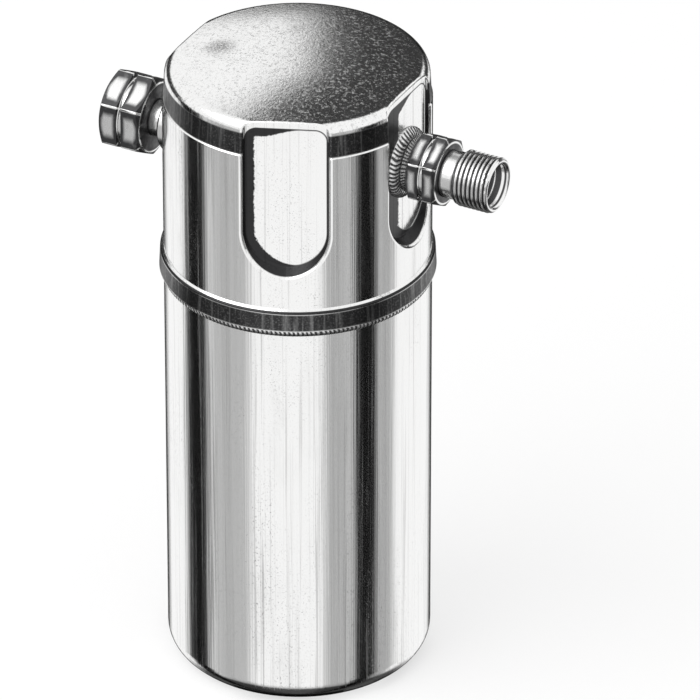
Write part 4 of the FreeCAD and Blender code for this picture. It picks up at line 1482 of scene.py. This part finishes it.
@dataclass(frozen=True)
class Strainer:
    """The woven screen in the strainer's cup."""

    radius: float = 6.66 * MM
    wire_radius: float = 0.10 * MM
    uprights: int = 44
    rings: int = 9
    wire_sides: int = 5
    points_per_crossing: int = 4
    points_per_ring: int = 6
    corner_degrees: float = 80

    def build(self, finishes: Finishes) -> None:
        """Weaves the screen between the cup's floor and its head.

        Args:
            finishes: the materials.
        """
        low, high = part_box("strainer_screen")
        foot = low.z + self.wire_radius * 2
        sizes = {
            "Radius": self.radius,
            "Wire": self.wire_radius,
            "Uprights": self.uprights,
            "Rings": self.rings,
            "Foot": foot,
            "Height": high.z - self.wire_radius * 2 - foot,
            "Sides": self.wire_sides,
        }
        grower = Grower("strainer_screen_woven", sizes, finishes.screen)
        given = grower.given
        crossings = given("Uprights")
        wire = grower.step("CurvePrimitiveCircle", Resolution=given("Sides"), Radius=given("Wire"))
        points = crossings * self.points_per_crossing
        ring = grower.step("CurvePrimitiveCircle", Resolution=points, Radius=given("Radius"))
        weave = (grower.angle() * crossings / 2).cosine() * given("Wire")
        place = grower.step("InputPosition")
        outward = grower.signal("ShaderNodeVectorMath", {"operation": "NORMALIZE"}, {0: place})
        waved = grower.step("SetPosition", Geometry=ring, Offset=grower.scaled(outward, weave))
        gap = given("Height") / (given("Rings") - 1)
        first = grower.up(given("Foot"))
        levels = grower.step("MeshLine", Count=given("Rings"), Start_Location=first, Offset=grower.up(gap))
        turn = grower.up(FULL_TURN / crossings * grower.step("InputIndex"))
        hoops = grower.step("InstanceOnPoints", Points=levels, Instance=waved, Rotation=turn)
        even = self.upright_set(grower, 0.0, 1.0, gap)
        odd = self.upright_set(grower, 1.0, -1.0, gap)
        curves = grower.step("RealizeInstances", Geometry=grower.gather(hoops, even, odd))
        piece = grower.grow(grower.step("CurveToMesh", Curve=curves, Profile_Curve=wire, Fill_Caps=True))
        Workshop.tidy(piece.data)
        Workshop.smooth(piece, self.corner_degrees)
        Workshop.hand_over(piece, Body.CANISTER, Slot.SCREEN, "strainer_screen")

    def upright_set(self, grower: Grower, turn: float, side: float, gap: Signal) -> Signal:
        """Stands every second upright wire round the screen.

        Args:
            grower: the screen's tree.
            turn: 0 for the even wires and 1 for the odd ones.
            side: 1 or -1, the side that they pass the first ring on.
            gap: the height between two rings.

        Returns:
            The wires' centre lines.
        """
        given = grower.given
        line = grower.step("CurvePrimitiveLine", End=grower.up(given("Height")))
        fine = grower.step("ResampleCurve", Curve=line, Count=given("Rings") * self.points_per_ring)
        _, _, z = grower.split(grower.step("InputPosition"))
        sway = (z / gap * math.pi).cosine() * given("Wire") * -side
        bent = grower.step("SetPosition", Geometry=fine, Offset=grower.join(sway, 0.0, 0.0))
        ring = grower.step("CurvePrimitiveCircle", Resolution=given("Uprights") / 2, Radius=given("Radius"))
        feet = grower.step("CurveToMesh", Curve=ring)
        facing = grower.up(grower.angle())
        stood = grower.step("InstanceOnPoints", Points=feet, Instance=bent, Rotation=facing)
        turned = grower.rotate(stood, grower.up(FULL_TURN / given("Uprights") * turn))
        return grower.move(turned, grower.up(given("Foot")))


@dataclass(frozen=True)
class FeltBag:
    """One bag of beads: felt gathered into a flat sewn seam at each end, full and lumpy between."""

    node: str
    rows: int = 150
    columns: int = 112
    seam: float = 5.0 * MM
    seam_half_thickness: float = 0.8 * MM
    seam_draw_in: float = 3.2 * MM
    swell_run: float = 15.0 * MM
    squareness: float = 3.0
    lump: float = 0.55 * MM
    lump_pitch: float = 4.2 * MM
    pucker: float = 0.5 * MM
    puckers: int = 13
    corner_degrees: float = 60

    def build(self, material: bpy.types.Material) -> None:
        """Lofts the bag inside its solid's box.

        Args:
            material: the felt.
        """
        low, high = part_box(self.node)
        centre = (low + high) / 2
        half = (high - low) / 2
        name = f"{self.node}_felt"
        heights = [low.z + (high.z - low.z) * row / self.rows for row in range(self.rows + 1)]
        rings = [self.ring(z, min(z - low.z, high.z - z), centre, half) for z in heights]
        piece = Workshop.new_object(name, Workshop.loft(name, rings))
        Workshop.dress(piece, material)
        Workshop.smooth(piece, self.corner_degrees)
        Workshop.hand_over(piece, Body.CANISTER, Slot.FELT, self.node)

    def ring(self, z: float, from_end: float, centre: Vector, half: Vector) -> list[Vector]:
        """Works out one round of the bag.

        Args:
            z: its height.
            from_end: how far it is from the nearer end.
            centre: the middle of the bag's box.
            half: half of the box's sides.

        Returns:
            The round's points.
        """
        rise = min(max((from_end - self.seam) / self.swell_run, 0.0), 1.0)
        fullness = math.sqrt(1 - (1 - rise) ** 2)
        thick = self.seam_half_thickness + (half.y - self.lump - self.seam_half_thickness) * fullness
        wide = half.x - self.lump - self.seam_draw_in * (1 - fullness)
        power = 2 / self.squareness
        points = []
        for column in range(self.columns):
            turn = FULL_TURN * column / self.columns
            side = math.copysign(abs(math.cos(turn)) ** power, math.cos(turn))
            front = math.copysign(abs(math.sin(turn)) ** power, math.sin(turn))
            x = wide * side
            y = thick * front
            lump = self.lumps(x, y, z) * self.lump * fullness
            fold = math.cos(x / half.x * math.pi * self.puckers) * self.pucker * fullness * (1 - fullness) * 2
            points.append(Vector((centre.x + x + side * lump, centre.y + y + front * (lump + fold), z)))
        return points

    def lumps(self, x: float, y: float, z: float) -> float:
        """How far the beads under the felt press it out, from -1 to 1.

        Its factors only keep three waves from lining up.

        Args:
            x: the place across the bag.
            y: the place through it.
            z: the height.

        Returns:
            The share of a lump.
        """
        x, y, z = x / self.lump_pitch, y / self.lump_pitch, z / self.lump_pitch
        wave = math.sin(x * 1.9 + 1.3 * math.sin(z * 0.9))
        wave += math.sin(z * 1.7 + 1.1 * math.sin(x * 1.3 + y))
        wave += 0.6 * math.sin((x + z) * 2.9 + y * 2.3)
        return wave / 2.6


@dataclass(frozen=True)
class Stitches:
    """Lock stitches along both ends of a bag."""

    node: str
    count: int = 17
    thread_radius: float = 0.22 * MM
    length: float = 1.9 * MM
    tilt: float = 0.14
    inset: float = 4.6 * MM
    seam_middle: float = 2.5 * MM
    seam_half_thickness: float = 0.8 * MM
    segments: int = 8
    rings: int = 6
    corner_degrees: float = 80

    def build(self, material: bpy.types.Material) -> None:
        """Sews both faces of both seams.

        Args:
            material: the thread's finish.
        """
        low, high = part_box(self.node)
        middle = (low.y + high.y) / 2
        sizes = {
            "Count": self.count,
            "Thread": self.thread_radius,
            "Length": self.length,
            "Left": low.x + self.inset,
            "Right": high.x - self.inset,
        }
        grower = Grower(f"{self.node}_stitches", sizes, material)
        given = grower.given
        ball = grower.step("MeshUVSphere", Segments=self.segments, Rings=self.rings, Radius=given("Thread"))
        stretch = grower.join(given("Length") / given("Thread") / 2, 1.0, 1.0)
        stitch = grower.step("Transform", Geometry=ball, Scale=stretch)
        rows = []
        for height in (low.z + self.seam_middle, high.z - self.seam_middle):
            for face in (-1, 1):
                depth = middle + face * self.seam_half_thickness
                start = grower.join(given("Left"), depth, height)
                end = grower.join(given("Right"), depth, height)
                ends = {"Count": given("Count"), "Start_Location": start, "Offset": end}
                line = grower.step("MeshLine", {"mode": "END_POINTS"}, **ends)
                tilt = (0.0, self.tilt * face, 0.0)
                rows.append(grower.step("InstanceOnPoints", Points=line, Instance=stitch, Rotation=tilt))
        piece = grower.grow(grower.gather(*rows))
        Workshop.smooth(piece, self.corner_degrees)
        Workshop.hand_over(piece, Body.CANISTER, Slot.FELT)


@dataclass(frozen=True)
class Saddle:
    """The felt web that lies in the tube's bend between the bags."""

    outside: float = 9.35 * MM
    inside: float = 7.35 * MM
    half_angle: float = math.radians(70)
    centre_height: float = 38.0 * MM
    steps: int = 44
    strips: int = 22
    nap: float = 0.10 * MM
    corner_degrees: float = 50

    def build(self, material: bpy.types.Material) -> None:
        """Lays the web in the bend.

        Args:
            material: the felt.
        """
        low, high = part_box("bag_saddle")
        places = [low.y + (high.y - low.y) * strip / self.strips for strip in range(self.strips + 1)]
        rings = []
        for step in range(self.steps + 1):
            turn = self.half_angle * (2 * step / self.steps - 1)
            ring = [self.point(turn, y, self.inside, -1) for y in places]
            ring += [self.point(turn, y, self.outside, 1) for y in reversed(places)]
            rings.append(ring)
        piece = Workshop.new_object("bag_saddle_felt", Workshop.loft("bag_saddle_felt", rings))
        Workshop.dress(piece, material)
        Workshop.smooth(piece, self.corner_degrees)
        Workshop.hand_over(piece, Body.CANISTER, Slot.FELT, "bag_saddle")

    def point(self, turn: float, y: float, radius: float, inward: int) -> Vector:
        """One point of the web's skin, worn in by the nap.

        The nap's factors only keep its two waves from lining up.

        Args:
            turn: its angle round the bend.
            y: its place across the web.
            radius: its skin's distance from the bend's centre.
            inward: 1 on the outer skin and -1 on the inner one.

        Returns:
            The point.
        """
        wave = self.nap * (math.sin(turn * 23 + y / MM * 1.7) + math.sin(y / MM * 2.9 - turn * 11))
        reach = radius - inward * abs(wave) / 2
        return Vector((reach * math.sin(turn), y, self.centre_height - reach * math.cos(turn)))


@dataclass(frozen=True)
class Inside:
    """What the sealed can holds."""

    strainer: Strainer = Strainer()
    bags: tuple[FeltBag, ...] = (FeltBag("desiccant_bag_front"), FeltBag("desiccant_bag_back"))
    seams: tuple[Stitches, ...] = (Stitches("desiccant_bag_front"), Stitches("desiccant_bag_back"))
    saddle: Saddle = Saddle()

    def build(self, nodes: dict, finishes: Finishes) -> None:
        """Finishes the tube, baffle and strainer, and makes the soft pieces.

        Args:
            nodes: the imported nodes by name.
            finishes: the materials.
        """
        plain = {
            "suction_tube": finishes.tube,
            "tube_braze": finishes.weld,
            "baffle": finishes.drawn,
            "baffle_grommet": finishes.grommet,
            "strainer_body": finishes.nylon,
            "strainer_cup": finishes.nylon,
            "bag_tie": finishes.tie,
        }
        for name, material in plain.items():
            Workshop.dress(nodes[name], material)
        self.strainer.build(finishes)
        for soft in (*self.bags, *self.seams, self.saddle):
            soft.build(finishes.felt)


class Finishes:
    """Every material that the pieces share, made once."""

    def __init__(self) -> None:
        """Makes the materials."""
        self.drawn = DrawnAluminium().build()
        self.weld = WeldMetal().build()
        self.turned = {fitting.label: fitting.turned.build() for fitting in (Outlet(), Inlet())}
        self.tube = DrawnAluminium(name="drawn_tube").build()
        self.seal = Rubber("oring_rubber", (0.020, 0.022, 0.021)).build()
        self.grommet = Rubber("grommet_moulded", (0.030, 0.029, 0.028)).build()
        self.nylon = MouldedPlastic("moulded_nylon").build()
        self.tie = MouldedPlastic("tie_nylon", (0.88, 0.87, 0.83), (0.80, 0.79, 0.74)).build()
        self.screen = ScreenWire().build()
        self.felt = NeedledFelt().build()


# Studio


@dataclass(frozen=True)
class Strip:
    """A dark upright strip of the room, by its middle, half width and soft edge in degrees."""

    middle: float
    half: float
    edge: float
    dark: float


@dataclass(frozen=True)
class Surroundings:
    """How bright the room is in each direction.

    Azimuths are measured from +X in degrees. The strips give the can its black and grey bands, the
    roof the dark side of its dome, and the horizon the dark line round the dome's far edge.
    """

    maker: NodeMaker
    direction: Signal
    bright: float = 1.02
    strips: tuple[Strip, ...] = (
        Strip(-1.0, 12.0, 4.0, 0.995),
        Strip(-161.0, 14.5, 5.0, 0.995),
        Strip(-124.0, 19.0, 7.0, 0.55),
        Strip(-27.0, 13.0, 6.0, 0.58),
        Strip(20.0, 9.0, 5.0, 0.60),
        Strip(118.0, 24.0, 6.0, 0.96),
    )
    slat_scale: float = 0.40
    slat_detail: float = 3.0
    slat_rough: float = 0.75
    slat_edge: Span = (0.38, 0.62)
    slat_share: float = 0.62
    slatted_below: float = 0.8
    wall_top: Span = (0.02, 0.14)
    base: Span = (-0.80, -0.66)
    base_dark: float = 0.93
    roof_slant: float = 0.75
    roof_slant_from: float = 0.57
    roof_edge: Span = (-0.012, 0.035)
    roof_right: Span = (0.34, 0.44)
    roof_front: Span = (0.15, 0.35)
    roof_foot: Span = (0.10, 0.16)
    horizon: tuple[float, float, float] = (-0.12, 0.26, 0.02)
    horizon_front: Span = (0.25, 0.45)
    far_dark: float = 0.96

    def strength(self) -> Signal:
        """Works out the brightness.

        Returns:
            The strength to give the room's light.
        """
        maker = self.maker
        x, y, up = maker.split(self.direction)
        azimuth = maker.math("ARCTAN2", y, x) * (360 / FULL_TURN)
        inputs = {"Scale": self.slat_scale, "Detail": self.slat_detail, "Roughness": self.slat_rough}
        noise = maker.signal("ShaderNodeTexNoise", {"noise_dimensions": "1D"}, {"W": azimuth, **inputs})
        slats = self.slat_share + self.slat_share * noise.ease(*self.slat_edge)
        factors = []
        for strip in self.strips:
            away = maker.math("WRAP", azimuth - strip.middle, 180.0, -180.0).size()
            mask = 1 - away.ease(strip.half - strip.edge, strip.half + strip.edge)
            slatted = slats if strip.dark < self.slatted_below else 1.0
            factors.append(1 - mask * strip.dark * slatted)
        low = 1 - up.ease(*self.wall_top)
        walls = reduce(operator.mul, factors) * low + (1 - low)
        lower = walls * (1 - (1 - up.ease(*self.base)) * self.base_dark)
        side = x * math.cos(VIEW_AZIMUTH) + y * math.sin(VIEW_AZIMUTH)
        far = y * math.cos(VIEW_AZIMUTH) - x * math.sin(VIEW_AZIMUTH)
        slant = (up - self.roof_slant_from).most(0.0) * self.roof_slant
        crown = (side + slant).ease(*self.roof_edge) * (1 - side.ease(*self.roof_right))
        roof = crown * far.ease(*self.roof_front) * up.ease(*self.roof_foot)
        horizon = up.band(*self.horizon) * far.ease(*self.horizon_front)
        return lower * (1 - roof.most(horizon) * self.far_dark) * self.bright


@dataclass(frozen=True)
class Studio:
    """The pale floor, the soft light and the surroundings that the metal mirrors."""

    floor_radius: float = 6.0
    floor_segments: int = 96
    floor_colour: Colour = (0.96, 0.96, 0.96)
    floor_grain: Colour = (0.90, 0.90, 0.90)
    grain: Pattern = Pattern(900.0)
    grain_share: float = 0.1
    floor_glow: float = 0.62
    backdrop: float = 0.96
    key_power: float = 12.5
    key_size: float = 1.6
    key_distance: float = 1.9
    key_from: Point = (-0.45, -0.70, 1.10)

    def floor(self) -> None:
        """Lays the floor."""
        shape = bmesh.new()
        bmesh.ops.create_circle(shape, cap_ends=True, segments=self.floor_segments, radius=self.floor_radius)
        mesh = bpy.data.meshes.new("floor")
        shape.to_mesh(mesh)
        shape.free()
        floor = Workshop.new_object("floor", mesh)
        shader = Shader("floor_paper")
        seen = shader.signal("ShaderNodeLightPath", output="Is Camera Ray")
        grain = shader.noise(shader.place(), self.grain) * self.grain_share
        base = shader.blend(grain, self.floor_colour, self.floor_grain)
        diffuse = shader.signal("ShaderNodeBsdfDiffuse", None, {"Color": base})
        glow = shader.signal("ShaderNodeEmission", None, {"Color": WHITE, "Strength": 1.0})
        layers = {0: seen * self.floor_glow, 1: diffuse, 2: glow}
        mix = shader.signal("ShaderNodeMixShader", None, layers)
        shader.node("ShaderNodeOutputMaterial", None, {"Surface": mix})
        mesh.materials.append(shader.material)
        floor.visible_glossy = False

    def key_light(self) -> None:
        """Hangs one large soft lamp over the left shoulder."""
        lamp = bpy.data.lights.new("key", "AREA")
        lamp.shape = "DISK"
        lamp.size = self.key_size
        lamp.energy = self.key_power
        made = Workshop.new_object("key", lamp)
        away = Vector(self.key_from).normalized()
        made.location = away * self.key_distance
        made.rotation_euler = away.to_track_quat("Z", "Y").to_euler()

    def surroundings(self) -> None:
        """Builds the white room with the dark strips that give the metal its bands."""
        world = bpy.data.worlds.new("studio")
        bpy.context.scene.world = world
        world.use_nodes = True
        maker = NodeMaker(world.node_tree)
        world.node_tree.nodes.clear()
        direction = maker.signal("ShaderNodeTexCoord", output="Generated")
        seen = maker.signal("ShaderNodeLightPath", output="Is Camera Ray")
        strength = Surroundings(maker, direction).strength() * (1 - seen) + seen * self.backdrop
        back = maker.signal("ShaderNodeBackground", None, {"Color": WHITE, "Strength": strength})
        maker.node("ShaderNodeOutputWorld", None, {"Surface": back})

    def build(self) -> None:
        """Sets up the whole studio."""
        self.floor()
        self.key_light()
        self.surroundings()
        bpy.context.scene.view_settings.view_transform = "Standard"
        log.info("studio: ready")


@dataclass(frozen=True)
class Viewpoint:
    """The photograph's camera."""

    azimuth: float = VIEW_AZIMUTH
    elevation: float = math.radians(31)
    lens: float = 457.4
    sensor: float = 36.0
    distance: float = 3.0
    aim_height: float = 0.112
    aim_right: float = 0.01744
    aim_up: float = 0.00169
    clip: Span = (0.1, 50.0)

    def build(self) -> None:
        """Sets up the camera."""
        right = Vector((math.cos(self.azimuth), math.sin(self.azimuth), 0))
        level = Vector((math.sin(self.azimuth), -math.cos(self.azimuth), 0))
        back = level * math.cos(self.elevation) + Vector((0, 0, math.sin(self.elevation)))
        up = back.cross(right)
        aim = Vector((0, 0, self.aim_height)) + right * self.aim_right + up * self.aim_up
        data = bpy.data.cameras.new("camera")
        data.lens = self.lens
        data.sensor_width = self.sensor
        data.clip_start, data.clip_end = self.clip
        camera = Workshop.new_object("camera", data)
        turn = Matrix((right, up, back)).transposed().to_4x4()
        camera.matrix_world = Matrix.Translation(aim + back * self.distance) @ turn
        bpy.context.scene.camera = camera
        log.info("camera: ready")


def main() -> None:
    """Builds, dresses and lights the filter drier."""
    logging.basicConfig(level=logging.INFO, format="%(name)s: %(message)s")
    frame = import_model()
    Viewpoint().build()
    finishes = Finishes()
    for assembly in (Can(), Outlet(), Inlet(), Inside()):
        assembly.build(frame["nodes"], finishes)
    Studio().build()


if __name__ == "__main__":
    main()
